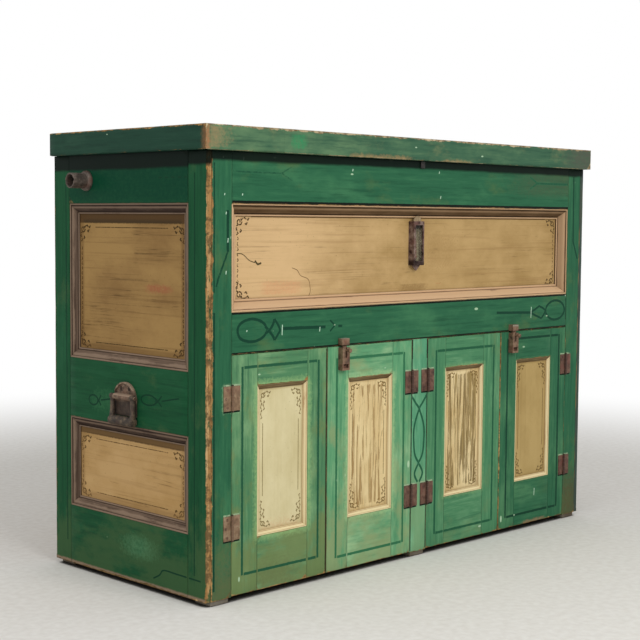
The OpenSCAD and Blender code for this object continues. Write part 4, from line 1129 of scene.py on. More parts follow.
def old_metal(name, body_tone, light, dark, red, rub, shine=0.35, paint_tone="#8f8a7a", pits=0.3,
              relief_mm=0.35, dirt_below=None, gloss=0.5):
    """Iron with a brown skin of rust: mottled, pitted, and rubbed on its edges."""
    made, tree = blank_material(name)
    spot = add(tree, "ShaderNodeTexCoord", out="Object")
    mottle = add(tree, "ShaderNodeTexNoise", {"Vector": spot, "Scale": 1000 / scale_mm, "Detail": 6.0,
                                              "Roughness": 0.65}, out="Fac")
    tone = add(tree, "ShaderNodeValToRGB", {0: mottle}, stops=[(0.34, linear(dark)), (0.5, linear(body_tone)),
                                                              (0.68, linear(light))])
    wet = add(tree, "ShaderNodeTexNoise", {"Vector": spot, "Scale": 38.0, "Detail": 4.0}, out="Fac")
    redder = add(tree, "ShaderNodeMapRange", {0: wet, 1: 0.5, 2: 0.64, 4: 0.7})
    tone = blend(tree, redder, tone, linear(red))
    pitted = add(tree, "ShaderNodeTexNoise", {"Vector": spot, "Scale": 1000 / pit_mm, "Detail": 3.0}, out="Fac")
    specks = add(tree, "ShaderNodeMapRange", {0: pitted, 1: 0.6, 2: 0.7, 4: 0.6})
    tone = blend(tree, specks, tone, linear(dark))
    paint = add(tree, "ShaderNodeAttribute", attribute_name="paint", out="Fac")
    held = add(tree, "ShaderNodeMath", {0: mottle, 1: -0.5, 2: paint}, operation="MULTIPLY_ADD")
    coat = add(tree, "ShaderNodeMapRange", {0: held, 1: 0.22, 2: 0.36, 4: 0.9})
    tone = blend(tree, coat, tone, linear(paint_tone))
    rounded = add(tree, "ShaderNodeBevel", {"Radius": 0.0011}, samples=4)
    flat = add(tree, "ShaderNodeNewGeometry", out="Normal")
    turned_by = add(tree, "ShaderNodeVectorMath", {0: rounded, 1: flat}, out="Value", operation="DOT_PRODUCT")
    on_edge = add(tree, "ShaderNodeMapRange", {0: turned_by, 1: 0.985, 2: 0.90, 3: 0.0, 4: rub})
    patchy = add(tree, "ShaderNodeMath", {0: on_edge, 1: add(tree, "ShaderNodeMapRange",
                                                             {0: mottle, 1: 0.3, 2: 0.6, 3: 0.3, 4: 1.0})},
                 operation="MULTIPLY")
    tone = blend(tree, patchy, tone, linear(light))
    # Below a given height the tone goes dark: painted shade under an overhang.
    if dirt_below:
        height = add(tree, "ShaderNodeSeparateXYZ", {0: spot}, out="Z")
        sheltered = add(tree, "ShaderNodeMapRange", {0: height, 1: dirt_below, 2: dirt_below - 0.006, 4: 0.8})
        tone = blend(tree, sheltered, tone, linear(dark))
    relief = add(tree, "ShaderNodeMath", {0: pitted, 1: pits, 2: mottle}, operation="MULTIPLY_ADD")
    rough = add(tree, "ShaderNodeMapRange", {0: patchy, 3: 0.68, 4: 0.45})
    close_material(tree, tone, rough, relief, relief_mm, gloss, Metallic=shine)
    return made


rusted_iron = old_metal("brown rusted iron", "#755a45", "#8d755e", "#46342a", "#744c3b", 0.55)
# The paint tone of the two hinge irons is the painted shade on the knuckle line.
hinge_iron = old_metal("red brown iron, hinges", "#634638", "#7d6250", "#3c2820", "#6d4136", 0.45, paint_tone="#453027")
olive_iron = old_metal("olive brown iron, outer hinges", "#84694f", "#9a866b", "#634d38", "#7d5b47", 0.45,
                       shine=0.2, paint_tone="#6e543f")
# The handle iron goes dark below the barrel as painted shade.
handle_iron = old_metal("rubbed cast iron, handles", "#6a5645", "#a08b75", "#2a1f18", "#6b4c3c", 0.9,
                        paint_tone="#97806c", relief_mm=0.08, dirt_below=0.4)
grip_iron = old_metal("dark cast iron, grips", "#40362d", "#75644f", "#241c17", "#47342a", 0.8, relief_mm=0.08)
# The pipe's tones are set darker than its rust alone, partly as painted shade.
pipe_iron = old_metal("dusty iron pipe", "#554a42", "#766a60", "#2c2520", "#63463a", 0.7)
dark_iron = old_metal("dark iron, pins and screws", "#372a20", "#5a4636", "#1c1510", "#4a2d20", 0.4)
tin_tones = ("#614b44", "#8d7b70", "#1d100e", "#6b4c44", 0.5)
# The case goes dark below the window: painted shade.
tin_plate = old_metal("painted tin, thermometer case", *tin_tones, shine=0.1, dirt_below=0.698, gloss=0.15)
tip_tin = old_metal("painted tin, thermometer tip", *tin_tones, shine=0.1, gloss=0.15)
tab_tin = old_metal("buff tin, thermometer tab", "#94805f", "#b09c78", "#5c4a33", "#80664a", 0.2, shine=0.1)


def zinc_sheet(name):
    """Rolled zinc: grey with large pale spangles, dulled by water and white oxide."""
    made, tree = blank_material(name)
    spot = add(tree, "ShaderNodeTexCoord", out="Object")
    cells = tree.nodes.new("ShaderNodeTexVoronoi")
    cells.inputs["Scale"].default_value = 1000 / spangle_mm
    tree.links.new(spot, cells.inputs["Vector"])
    spangle = add(tree, "ShaderNodeSeparateColor", {0: cells.outputs["Color"]}, out="Red")
    tone = add(tree, "ShaderNodeValToRGB", {0: spangle}, stops=[(0.0, linear("#8b8d8c")), (1.0, linear("#a2a4a2"))])
    oxide = add(tree, "ShaderNodeTexNoise", {"Vector": spot, "Scale": 9.0, "Detail": 7.0, "Roughness": 0.65}, out="Fac")
    whitened = add(tree, "ShaderNodeMapRange", {0: oxide, 1: 0.5, 2: 0.68, 4: 0.75})
    tone = blend(tree, whitened, tone, linear("#b9b9b1"))
    stained = add(tree, "ShaderNodeMapRange", {0: oxide, 1: 0.42, 2: 0.3, 4: 0.7})
    tone = blend(tree, stained, tone, linear("#6d675d"))
    rough = add(tree, "ShaderNodeMapRange", {0: oxide, 1: 0.3, 2: 0.65, 3: 0.42, 4: 0.75})
    close_material(tree, tone, rough, oxide, 0.6, Metallic=0.75)
    return made


zinc = zinc_sheet("dull zinc sheet")
for node in ("tank_liner", "lid_lining"):
    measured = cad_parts[node]
    measured.data.materials.clear()
    measured.data.materials.append(zinc)
print("rust scale", scale_mm, "mm, pits", pit_mm, "mm, zinc spangles", spangle_mm, "mm")

# %% [markdown]
# ## Butt hinges
# Eight two inch butt hinges carry the doors. Each leaf is a plate let on over the wood, with
# knuckles rolled round a loose pin, and three slotted screws. The leaf's outer corners are
# clipped a little by wear. The pin's ends stand out above and below and are almost black.

# %% Door hinges
knuckle_r = 3.2
leaf_w = 22.5
leaf_t = 2.0
knuckle_count = 5
hinge_out = -3.4
hinge_axes = [67.5, 623.5, 680.5, 1236.5]
hinge_h = 51


def screw(shape, x, y, z, radius, slot_turn, toward=(0, -1, 0), proud=0.7):
    """A slotted screw head in a face: a low dome in two halves with the slot open between."""
    toward = Vector(toward)
    side = Vector((math.cos(slot_turn), 0, math.sin(slot_turn)))
    if abs(toward.x) > 0.5:
        side = Vector((0, math.cos(slot_turn), math.sin(slot_turn)))
    up = toward.cross(side)
    slot = 0.16 * radius
    for half in (1, -1):
        for_face = []
        loops = []
        for lift, share in ((-0.5, 1.0), (proud * 0.6, 1.0), (proud, 0.86)):
            loop = []
            for n in range(9):
                angle = math.pi * n / 8
                across = half * (slot + (radius * share - slot) * math.sin(angle))
                loop.append(shape.verts.new(Vector((x, y, z)) + side * radius * share * math.cos(angle) +
                                            up * across + toward * lift))
            loops.append(loop)
        join_loops(shape, loops)


def add_hinge_leaf(shape, screws, axis_x, mid_z, way, knuckles):
    """One leaf on the side that way points to, with some of the five knuckles."""
    far, near = axis_x + way * leaf_w, axis_x + way * (knuckle_r + 0.4)
    tall = hinge_h / knuckle_count
    low_z = mid_z - hinge_h / 2
    keep = [((min(far, near), -leaf_t, low_z), (max(far, near), 0, low_z + hinge_h))]
    for k in knuckles:
        keep.append(((min(axis_x, near), -leaf_t, low_z + k * tall + 0.15),
                     (max(axis_x, near), -0.2, low_z + (k + 1) * tall - 0.15)))
    carve(shape, keep, round_mm=0.45)
    for k in knuckles:
        turn(shape, (axis_x, hinge_out, low_z + k * tall + 0.15), (0, 0, 1),
             [(0, knuckle_r - 0.5), (0.5, knuckle_r), (tall - 0.8, knuckle_r), (tall - 0.3, knuckle_r - 0.5)], 20)
    for v in (-1, 0, 1):
        screw(screws, axis_x + way * (leaf_w - 6 - 4 * abs(v)), -leaf_t, mid_z + v * hinge_h * 0.36, 2.9,
              chance.uniform(0, math.pi), proud=0.3)


def shaded_knuckle(point, normal):
    """Painted shade on the line of the pin, beside the knuckles, with some oil and dirt."""
    off = min(abs(point.x - axis_x) for axis_x in hinge_axes)
    return 1.0 if off < knuckle_r and point.y < -leaf_t - 0.3 else 0.0


hinge_places = []
heads, pins = bmesh.new(), bmesh.new()
for n, axis_x in enumerate(hinge_axes):
    on_frame = -1 if n in (0, 2) else 1
    plates, door_plates, door_heads = bmesh.new(), bmesh.new(), bmesh.new()
    leaves_low, leaves_high = extent(f"door_{n + 1}_hinge_leaves")
    for mid_z in (leaves_low[2] + hinge_h / 2, leaves_high[2] - hinge_h / 2):
        hinge_places.append((n, axis_x, mid_z))
        add_hinge_leaf(plates, heads, axis_x, mid_z, on_frame, (0, 2, 4))
        add_hinge_leaf(door_plates, door_heads, axis_x, mid_z, -on_frame, (1, 3))
        half = hinge_h / 2 + 3.2
        turn(pins, (axis_x, hinge_out, mid_z - half), (0, 0, 1),
             [(0, 1.2), (0.7, 2.3), (2.6, 2.4), (2.9, 1.45), (2 * half - 2.9, 1.45), (2 * half - 2.6, 2.4),
              (2 * half - 0.7, 2.3), (2 * half, 1.2)], 16)
    body = f"door_{n + 1}"
    iron = hinge_iron if n else olive_iron
    stands_for = (body + "_hinge_leaves", )
    finish_shape(body + "_leaves", door_plates, iron, body, stands_for, painted=shaded_knuckle)
    finish_shape(body + "_leaf_screws", door_heads, iron, body, stands_for)
    finish_shape(f"frame_leaves_{n + 1}", plates, iron, "carcass", ("door_hinge_frame_leaves", ),
                 painted=shaded_knuckle)
finish_shape("frame_hinge_screws", heads, hinge_iron, "carcass", ("door_hinge_frame_leaves", ))
finish_shape("hinge_pins", pins, dark_iron, "carcass", ("door_hinge_pins", ))
print("hinges on", len(hinge_axes), "axes,", hinge_h, "mm high")

# %% [markdown]
# ## Bolts
# Doors 2 and 4 each have a small slide bolt: a case with a slot for the knob's stem and a
# square hole near its foot, the bolt inside, and a keeper on the rail above. Whoever
# painted the rail last went over the keepers too, and that pale paint is still on top.

# %% Slide bolts
def pale_top(point, normal):
    """Old paint that stayed where the piece faces up, and along its upper edge."""
    return max(0.0, min(1.0, normal.z * 1.6 - 0.2))


for n in (2, 4):
    body = f"door_{n}"
    low, high = extent(body + "_latch_case")
    mid = (low[0] + high[0]) / 2
    case = bmesh.new()
    carve(case, [(low, (high[0], 0, high[2]))],
          [((mid - 5.7, -10.2, low[2] + 10), (mid + 5.7, -2.8, high[2] + 1)),
           ((mid - 2.6, low[1] - 1, high[2] - 22), (mid + 2.6, -6.5, high[2] + 1)),
           ((low[0] + 3, low[1] - 1, low[2] + 5), (low[0] + 19, low[1] + 6, low[2] + 14))], 0.8)
    finish_shape(body + "_bolt_case", case, rusted_iron, body, (body + "_latch_case", ))
    bolt_low, bolt_high = extent(body + "_bolt")
    knob_mid = high[2] - 6
    bolt = bmesh.new()
    carve(bolt, [((mid - 5.5, -10, bolt_low[2]), (mid + 5.5, -3, bolt_high[2]))], round_mm=0.7)
    front = bolt_low[1]
    turn(bolt, (mid, front, knob_mid), (0, 1, 0),
         [(0, 2.4), (0.5, 3.8), (1.6, 4.8), (3.2, 5.0), (5.4, 4.7), (6.6, 3.4), (7.4, 2.3), (-front - 8, 2.1)], 24)
    finish_shape(body + "_bolt_and_knob", bolt, rusted_iron, f"bolt_{n}", (body + "_bolt", ),
                 sharp_degrees=50)
    keeper_low = extent("latch_keepers")[0][2]
    keeper_top = extent("latch_keepers")[1][2]
    keeper = bmesh.new()
    carve(keeper, [((low[0] - 1, low[1], keeper_low), (high[0] - 1, 0, keeper_top))],
          [((mid - 6.2, -10.7, keeper_low - 1), (mid + 6.2, -2.3, keeper_low + 8))], 1.0)
    finish_shape(f"keeper_{n}", keeper, rusted_iron, "carcass", ("latch_keepers", ), painted=pale_top)
    print(body, "bolt from", bolt_low[2], "to", bolt_high[2], "knob front", front)

# %% [markdown]
# ## Lifting handles
# A cast plate with a raised rim carries a barrel, and the bail swings in it: two arms that
# thicken downward into a fat round grip. The plate is lofted from insets of its outline,
# because a bevel alone gives no raised rim. The bail's arms are swept so that their section
# grows on its way down, which a plain bar would not do.

# %% Handles
plate_half = 38
plate_base = 366
plate_flat = 3
dome_z = 401
barrel_z = 407
barrel_out = 9.5
barrel_r = 6.5
arch_from = barrel_z + 6.5
grip_z = 356
grip_out = 11
grip_r = 10.5
handle_y = body_d / 2
rim_steps = ((0.0, 0.0), (0.0, 6.2), (0.4, 6.8), (1.0, 7.0), (2.8, 7.0), (3.5, 6.5), (4.0, 5.0), (4.6, 3.2), (9.0, 3.0))


def plate_outline(inset_mm):
    """The handle plate's outline, as (across, up) from its middle line, kept inset by this much."""
    r = plate_half - inset_mm
    base = plate_base + inset_mm
    arch = [(r * math.cos(math.pi * n / 24), dome_z + r * math.sin(math.pi * n / 24)) for n in range(25)]
    foot = [(-r, base + (dome_z - base) * (2 - n) / 3) for n in range(2)] + [(-r, base)]
    foot += [(-r + 2 * r * n / 6, base) for n in range(1, 6)]
    return arch + foot + [(r, base)] + [(r, base + (dome_z - base) * n / 3) for n in (1, 2)]


for side in ("left", "right"):
    flip = side == "right"

    def on_end(point):
        """A point drawn for the left end, or its mirror image at the right end."""
        return Vector((body_w - point[0], point[1], point[2])) if flip else Vector(point)

    plate = bmesh.new()
    loops = []
    for inset_mm, out in rim_steps:
        loop = []
        for across, up in plate_outline(inset_mm):
            arch = max(0.0, min(1.0, (up - arch_from) / 5))
            loop.append(plate.verts.new((-min(out, plate_flat + (out - plate_flat) * arch), handle_y + across, up)))
        loops.append(loop)
    join_loops(plate, loops)
    carve(plate, [((-barrel_out, handle_y - 29, barrel_z - barrel_r), (-2.5, handle_y + 29, barrel_z + barrel_r))],
          round_mm=0.8)
    turn(plate, (-barrel_out, handle_y - 29, barrel_z), (0, 1, 0),
         [(0, 5.7), (0.8, barrel_r), (57.2, barrel_r), (58, 5.7)], 28)
    turn(plate, (-barrel_out, handle_y - 43.3, barrel_z), (0, 1, 0),
         [(0, 3.4), (0.5, 4.0), (1.9, 4.0), (2.0, 2.4), (84.6, 2.4), (84.7, 4.0), (86.1, 4.0), (86.6, 3.4)], 16)
    for v in plate.verts:
        v.co = on_end(v.co)
    # On the handle plate the pale top is partly old paint and partly a painted highlight where the dome and barrel face
    # up.
    finish_shape(side + "_plate", plate, handle_iron, "carcass", (side + "_handle_plate", ),
                 painted=pale_top)

    heads = bmesh.new()
    for across in (-14, 14):
        x, y, z = on_end((-2.8, handle_y + across, dome_z + 24))
        screw(heads, x, y, z, 4, chance.uniform(0, math.pi), toward=(1 if flip else -1, 0, 0), proud=1.4)
    finish_shape(side + "_plate_screws", heads, dark_iron, "carcass", (side + "_handle_plate", ))

    bail = bmesh.new()
    for s in (-1, 1):
        y = handle_y + s * 35.25
        turn(bail, (-barrel_out, y - 5.7, barrel_z), (0, 1, 0), [(0, 5.4), (0.7, 6.0), (10.7, 6.0), (11.4, 5.4)], 24)
        path, widths = [], []
        for n in range(11):
            t = n / 10
            path.append((-barrel_out - (grip_out - barrel_out) * t ** 2.2, y, barrel_z - (barrel_z - grip_z) * t))
            widths.append((4.0 + 4.5 * t ** 4, 5.5 + 0.1 * t))
        sweep(bail, path, widths, (0, 1, 0), squareness=3.2)
    turn(bail, (-grip_out, handle_y - 41, grip_z), (0, 1, 0),
         [(0, 6.5), (0.6, 8.6), (2.2, 10.0), (5.0, 10.4), (41, grip_r), (77, 10.4), (79.8, 10.0), (81.4, 8.6),
          (82, 6.5)], 32, uneven=0.012)
    for v in bail.verts:
        v.co = on_end(v.co)
    finish_shape(side + "_bail_and_grip", bail, grip_iron, side + "_bail", (side + "_handle_bail", ),
                 sharp_degrees=50)
    print(side, "handle on", round(on_end((0, 0, 0)).x, 1))

# %% [markdown]
# ## Overflow pipe
# A length of one inch pipe stands out of the left end, with a mouth that is nicked from
# years of buckets, and a lead collar wiped round it at the wall.

# %% Pipe and collar
pipe_low, pipe_high = extent("overflow_pipe")
pipe_y = (pipe_low[1] + pipe_high[1]) / 2
pipe_z = extent("pipe_collar")[0][2] + 22.5
pipe_r = 16.7
tail_r = 16.5
bore_r = 13.3
pipe = bmesh.new()
turn(pipe, (pipe_low[0], pipe_y, pipe_z), (1, 0, 0),
     [(0.2, bore_r + 0.5), (0.0, bore_r + 1.2), (0.1, pipe_r - 0.6), (0.9, pipe_r), (12, pipe_r), (24, pipe_r),
      (36, pipe_r), (36.1, tail_r), (pipe_high[0] - pipe_low[0], tail_r), (pipe_high[0] - pipe_low[0], bore_r),
      (40, bore_r), (6, bore_r), (1.0, bore_r)], 48, closed=True)
for v in pipe.verts:
    if v.co.x < pipe_low[0] + 1.5:
        nick = max(0, noise.noise(v.co * 0.16) - 0.05)
        v.co.x += 3.2 * nick
turn(pipe, (28, pipe_y, pipe_z), (1, 0, 0), [(0, 22.2), (1.2, 23.7), (7.8, 23.7), (9, 22.2)], 6)
finish_shape("pipe", pipe, pipe_iron, "carcass", ("overflow_pipe", ), sharp_degrees=40)
collar = bmesh.new()
turn(collar, (0, pipe_y, pipe_z), (-1, 0, 0),
     [(0, 16.6), (0, 22.3), (1.5, 22.5), (4.0, 22.1), (6.2, 20.8), (7.9, 18.9), (8.8, 17.6), (9.0, 16.8), (8.6, 16.6)],
     48, closed=True, uneven=0.02)
finish_shape("wiped_collar", collar, pipe_iron, "carcass", ("pipe_collar", ), sharp_degrees=60)
print("pipe mouth at", pipe_low[0], "axis height", pipe_z)

# %% Catch plate and lid hinges
catch_low, catch_high = extent("lid_catch_plate")
catch = bmesh.new()
carve(catch, [(catch_low, catch_high)], round_mm=0.6)
catch_mid = (catch_low[0] + catch_high[0]) / 2
screw(catch, catch_mid, catch_low[1] + 0.6, catch_low[2] + 4.5, 2.2, 0.6, proud=0.3)
black_iron = old_metal("black iron, catch plate", "#15120f", "#2b2620", "#0a0807", "#1c120d", 0.3, shine=0.1)
finish_shape("catch_plate", catch, black_iron, "carcass", ("lid_catch_plate", ))

lid_axis_y = body_d + 5.3
lid_leaf_w = 60
lid_leaf_t = 3
lid_knuckle_r = 5
for label, body, node, way, knuckles in (("body", "carcass", "lid_hinge_body_leaves", -1, (0, 2, 4)),
                                         ("lid", "lid", "lid_hinge_lid_leaves", 1, (1, 3))):
    leaves, heads = bmesh.new(), bmesh.new()
    for mid in (180, body_w / 2, body_w - 180):
        near, far = body_top + way * (lid_knuckle_r + 0.5), body_top + way * 44
        left, tall = mid - lid_leaf_w / 2, lid_leaf_w / 5
        keep = [((left, body_d, min(near, far)), (left + lid_leaf_w, body_d + lid_leaf_t, max(near, far)))]
        for k in knuckles:
            keep.append(((left + k * tall + 0.2, body_d + 0.3, min(near, body_top)),
                         (left + (k + 1) * tall - 0.2, body_d + lid_leaf_t, max(near, body_top))))
        carve(leaves, keep, round_mm=0.5)
        for k in knuckles:
            turn(leaves, (left + k * tall + 0.2, lid_axis_y, body_top), (1, 0, 0),
                 [(0, 4.3), (0.7, lid_knuckle_r), (tall - 1.1, lid_knuckle_r), (tall - 0.4, 4.3)], 24)
        if label == "body":
            turn(heads, (left - 0.5, lid_axis_y, body_top), (1, 0, 0),
                 [(0, 1.8), (0.5, 2.5), (lid_leaf_w + 0.5, 2.5), (lid_leaf_w + 1, 1.8)], 16)
        for v in (-18, 18):
            screw(heads, mid + v, body_d + lid_leaf_t, body_top + way * 32, 4, chance.uniform(0, math.pi),
                  toward=(0, 1, 0), proud=1.0)
    finish_shape(label + "_hinge_leaves", leaves, rusted_iron, body, (node, ))
    finish_shape(label + "_hinge_screws", heads, dark_iron, body, (node, ))
print("lid hinges turn at", lid_axis_y, body_top)

# %% [markdown]
# ## Thermometer
# A small thermometer hangs in a case of folded tin that was once painted. The sheet is
# folded round the window, with a half round tab above and a pointed one below. Its glass is
# dusty, the scale plate behind it has gone olive, and the spirit is still red.

# %% Thermometer
case_low, case_high = extent("thermometer_case")
glass_low, glass_high = extent("thermometer_glass")
plate_low, plate_high = extent("thermometer_scale")
tube_low, tube_high = extent("thermometer_tube")
therm_mid = (case_low[0] + case_high[0]) / 2
therm_z0, therm_z1 = 684, 786
therm_front, therm_back = 5, 22
case = bmesh.new()
carve(case, [((case_low[0], therm_front, therm_z0), (case_high[0], therm_back, therm_z1))],
      [((case_low[0] + 2, therm_front + 3.5, therm_z0 + 3), (case_high[0] - 2, therm_back - 1.5, therm_z1 - 3)),
       ((therm_mid - 11.5, therm_front - 1, therm_z0 + 10), (therm_mid + 14.5, therm_front + 4, therm_z1 - 9))], 0.7)
tab = bmesh.new()
loops = []
for y, by in ((10.0, 0.5), (10.4, 0.0), (12.6, 0.0), (13.0, 0.5)):
    arc = [math.pi * n / 20 for n in range(21)]
    loops.append([tab.verts.new((therm_mid + (13 - by) * math.cos(a), y, therm_z1 - 0.4 + (12.4 - by) * math.sin(a)))
                  for a in arc])
join_loops(tab, loops)
tip = bmesh.new()
loops = []
for y, by in ((13.0, 0.5), (13.4, 0.0), (15.6, 0.0), (16.0, 0.5)):
    loops.append([tip.verts.new((therm_mid + x, y, therm_z0 + z)) for x, z in
                  ((-14 + by, 0), (14 - by, 0), (14 - by, -0.5), (1.2, -12.4 + by), (-1.2, -12.4 + by), (-14 + by, -0.5))])
join_loops(tip, loops)
finish_shape("thermometer_tin_case", case, tin_plate, "carcass", ("thermometer_case", ))
finish_shape("thermometer_upper_tab", tab, tab_tin, "carcass", ("thermometer_case", ))
finish_shape("thermometer_lower_tab", tip, tip_tin, "carcass", ("thermometer_case", ))

scale_tone, tree = blank_material("olive enamel scale plate")
spot = add(tree, "ShaderNodeTexCoord", out="Object")
cloudy = add(tree, "ShaderNodeTexNoise", {"Vector": spot, "Scale": 90.0, "Detail": 5.0}, out="Fac")
tone = add(tree, "ShaderNodeValToRGB", {0: cloudy}, stops=[(0.35, linear("#8d7f62")), (0.65, linear("#a3967a"))])
close_material(tree, tone, 0.5, cloudy, 0.1)
plate = bmesh.new()
carve(plate, [(plate_low, plate_high)], round_mm=0.3)
finish_shape("thermometer_scale_plate", plate, scale_tone, "carcass", ("thermometer_scale", ))

tick_gap = 2.0
tick_count = 30
ink_tone, tree = blank_material("black enamel ticks")
spot = add(tree, "ShaderNodeTexCoord", out="Object")
faded = add(tree, "ShaderNodeTexNoise", {"Vector": spot, "Scale": 300.0, "Detail": 3.0}, out="Fac")
tone = add(tree, "ShaderNodeValToRGB", {0: faded}, stops=[(0.4, linear("#2b2620")), (0.7, linear("#5a503f"))])
close_material(tree, tone, 0.45, faded, 0.05)
ticks = bmesh.new()
for n in range(tick_count):
    z = therm_z0 + 28 + n * tick_gap
    reach = 5.0 if n % 5 == 0 else 2.8
    for s in (-1, 1):
        x0, x1 = sorted((therm_mid + s * 5.5, therm_mid + s * (5.5 + reach)))
        carve(ticks, [((x0, plate_low[1] - 0.12, z), (x1, plate_low[1] + 0.2, z + 0.45))], round_mm=0.05)
finish_shape("thermometer_ticks", ticks, ink_tone, "carcass", ("thermometer_scale", ))

stem = bmesh.new()
turn(stem, (therm_mid, 15.5, tube_low[2]), (0, 0, 1),
     [(0, 0.6), (0.6, 2.0), (2.2, 2.9), (4.2, 2.8), (6.0, 1.7), (40, 1.5)], 20)
spirit_tone = old_metal("red spirit in glass", "#8a2f24", "#a4483a", "#5a1c16", "#8a2f24", 0.2, shine=0.0, pits=0.05)
finish_shape("thermometer_spirit", stem, spirit_tone, "carcass", ("thermometer_tube", ))
upper = bmesh.new()
turn(upper, (therm_mid, 15.5, tube_low[2] + 40), (0, 0, 1), [(0, 1.5), (32, 1.5), (33, 0.7)], 20)
carve(upper, [((therm_mid - 5, 16.4, tube_low[2] + 13), (therm_mid + 5, 18.4, tube_low[2] + 16)),
              ((therm_mid - 5, 16.4, tube_low[2] + 60), (therm_mid + 5, 18.4, tube_low[2] + 63))], round_mm=0.3)
empty_tone = old_metal("dusty glass tube and clips", "#9c9484", "#b9b2a3", "#6d6657", "#8b7f6b", 0.3, shine=0.1)
finish_shape("thermometer_tube_top", upper, empty_tone, "carcass", ("thermometer_tube", ))

dusty_glass, tree = blank_material("dusty window glass")
spot = add(tree, "ShaderNodeTexCoord", out="Object")
dust = add(tree, "ShaderNodeTexNoise", {"Vector": spot, "Scale": 70.0, "Detail": 6.0, "Roughness": 0.7}, out="Fac")
film = add(tree, "ShaderNodeMapRange", {0: dust, 1: 0.35, 2: 0.75, 3: 0.10, 4: 0.42})
tone = add(tree, "ShaderNodeValToRGB", {0: dust}, stops=[(0.35, linear("#6f6a55")), (0.7, linear("#938a72"))])
rough = add(tree, "ShaderNodeMapRange", {0: dust, 1: 0.35, 2: 0.75, 3: 0.08, 4: 0.4})
# The top of the window is darkened and made less clear: the case's painted shadow.
height = add(tree, "ShaderNodeSeparateXYZ", {0: spot}, out="Z")
window_shadow = add(tree, "ShaderNodeMapRange", {0: height, 1: 0.764, 2: 0.770, 4: 0.95})
tone = blend(tree, window_shadow, tone, linear("#0f0b06"))
film = add(tree, "ShaderNodeMath", {0: film, 1: window_shadow}, operation="MAXIMUM")
close_material(tree, tone, rough, dust, 0.03, 0.12, Alpha=film)
pane = bmesh.new()
carve(pane, [(glass_low, glass_high)], round_mm=0.2)
finish_shape("thermometer_pane", pane, dusty_glass, "carcass", ("thermometer_glass", ))
print("thermometer from", therm_z0, "to", therm_z1, "ticks", tick_count)

# %% [markdown]
# ## Painted lines and stains
# The painter lined the cabinet out in a darker green: a thin frame on each door, rings and
# arrows on the middle rail, twisted lines on the centre stile and ribbons on the ends. The
# buff panels have a thin brown border with a stencilled scroll in each corner. A picture
# laid over the boards could not know where each board ends. So each line here is a thin
# slab of paint, a tenth of a millimetre thick, split wherever it passes from one board to
# the next. It carries the values of the board below it, and it wears with that board.

# %% Laying marks
mark_proud = 0.1
mark_sunk = 0.3
mark_rise = 0.002
stroke_step = 3.0
patch_soft = 0.25
laid = {}
marks_on = {}


def holds(side, board, across, up, margin=0.6):
    """Whether a place on a face of the cabinet lies on this board."""
    axis = 0 if side == "front" else 1
    return (board["low"][axis] + margin < across < board["high"][axis] - margin and
            board["low"][2] + margin < up < board["high"][2] - margin)


def lay(key, kind, *details):
    """Notes a mark for one board, side, tone and hold. Later marks on the board lie a hair higher."""
    marks_on[key[:2]] = marks_on.get(key[:2], 0) + 1
    laid.setdefault(key, []).append((kind, mark_proud + marks_on[key[:2]] * mark_rise, details))


def straight(*points):
    """Places along straight lines from point to point."""
    made = []
    for a, b in zip(points, points[1:]):
        steps = max(1, round(math.dist(a, b) / stroke_step))
        made += [(a[0] + (b[0] - a[0]) * n / steps, a[1] + (b[1] - a[1]) * n / steps) for n in range(steps)]
    return made + [points[-1]]


def curved(*points, closed=False):
    """Places along a smooth curve that passes through the points."""
    count = len(points)
    made = []
    for i in range(count if closed else count - 1):
        near = [points[(i + k) % count if closed else min(max(i + k, 0), count - 1)] for k in (-1, 0, 1, 2)]
        steps = max(2, round(math.dist(near[1], near[2]) / stroke_step))
        for n in range(steps):
            t = n / steps
            weights = ((-t ** 3 + 2 * t * t - t) / 2, (3 * t ** 3 - 5 * t * t + 2) / 2,
                       (-3 * t ** 3 + 4 * t * t + t) / 2, (t ** 3 - t * t) / 2)
            made.append(tuple(sum(w * p[axis] for w, p in zip(weights, near)) for axis in (0, 1)))
    return made + [points[0] if closed else points[-1]]


def stroke(side, group, points, width, tone, hold=0.5, ink=1.0):
    """A painted line along places on one side, on whichever boards of the group lie below it."""
    runs, last = [], None
    for point in points:
        name = next((n for n in group if holds(side, boards[n], *point)), None)
        if name and name == last:
            runs[-1][1].append(point)
        elif name:
            runs.append((name, [point]))
        last = name
    for name, run in runs:
        if len(run) > 1:
            lay((name, side, tone, hold, 0.0), "stroke", run, width, ink)


def blot(side, group, low, high, tone, hold=0.2, fall=(8, 8, 8, 8), ink=1.0):
    """A soft patch over the boards of a group. fall is how far it takes to fade in at left, right, bottom and top."""
    axis = 0 if side == "front" else 1
    for name in (group, ) if isinstance(group, str) else group:
        board = boards[name]
        cut_low = (max(low[0], board["low"][axis] + 0.3), max(low[1], board["low"][2] + 0.3))
        cut_high = (min(high[0], board["high"][axis] - 0.3), min(high[1], board["high"][2] - 0.3))
        if cut_high[0] - cut_low[0] > 1 and cut_high[1] - cut_low[1] > 1:
            lay((name, side, tone, hold, patch_soft), "blot", (cut_low, cut_high), (low, high), fall, ink)


def faded(distance, fall):
    """Full ink from this far inside a patch, and less towards its rim."""
    return 1.0 if fall <= 0 else max(0.0, min(1.0, distance / fall))


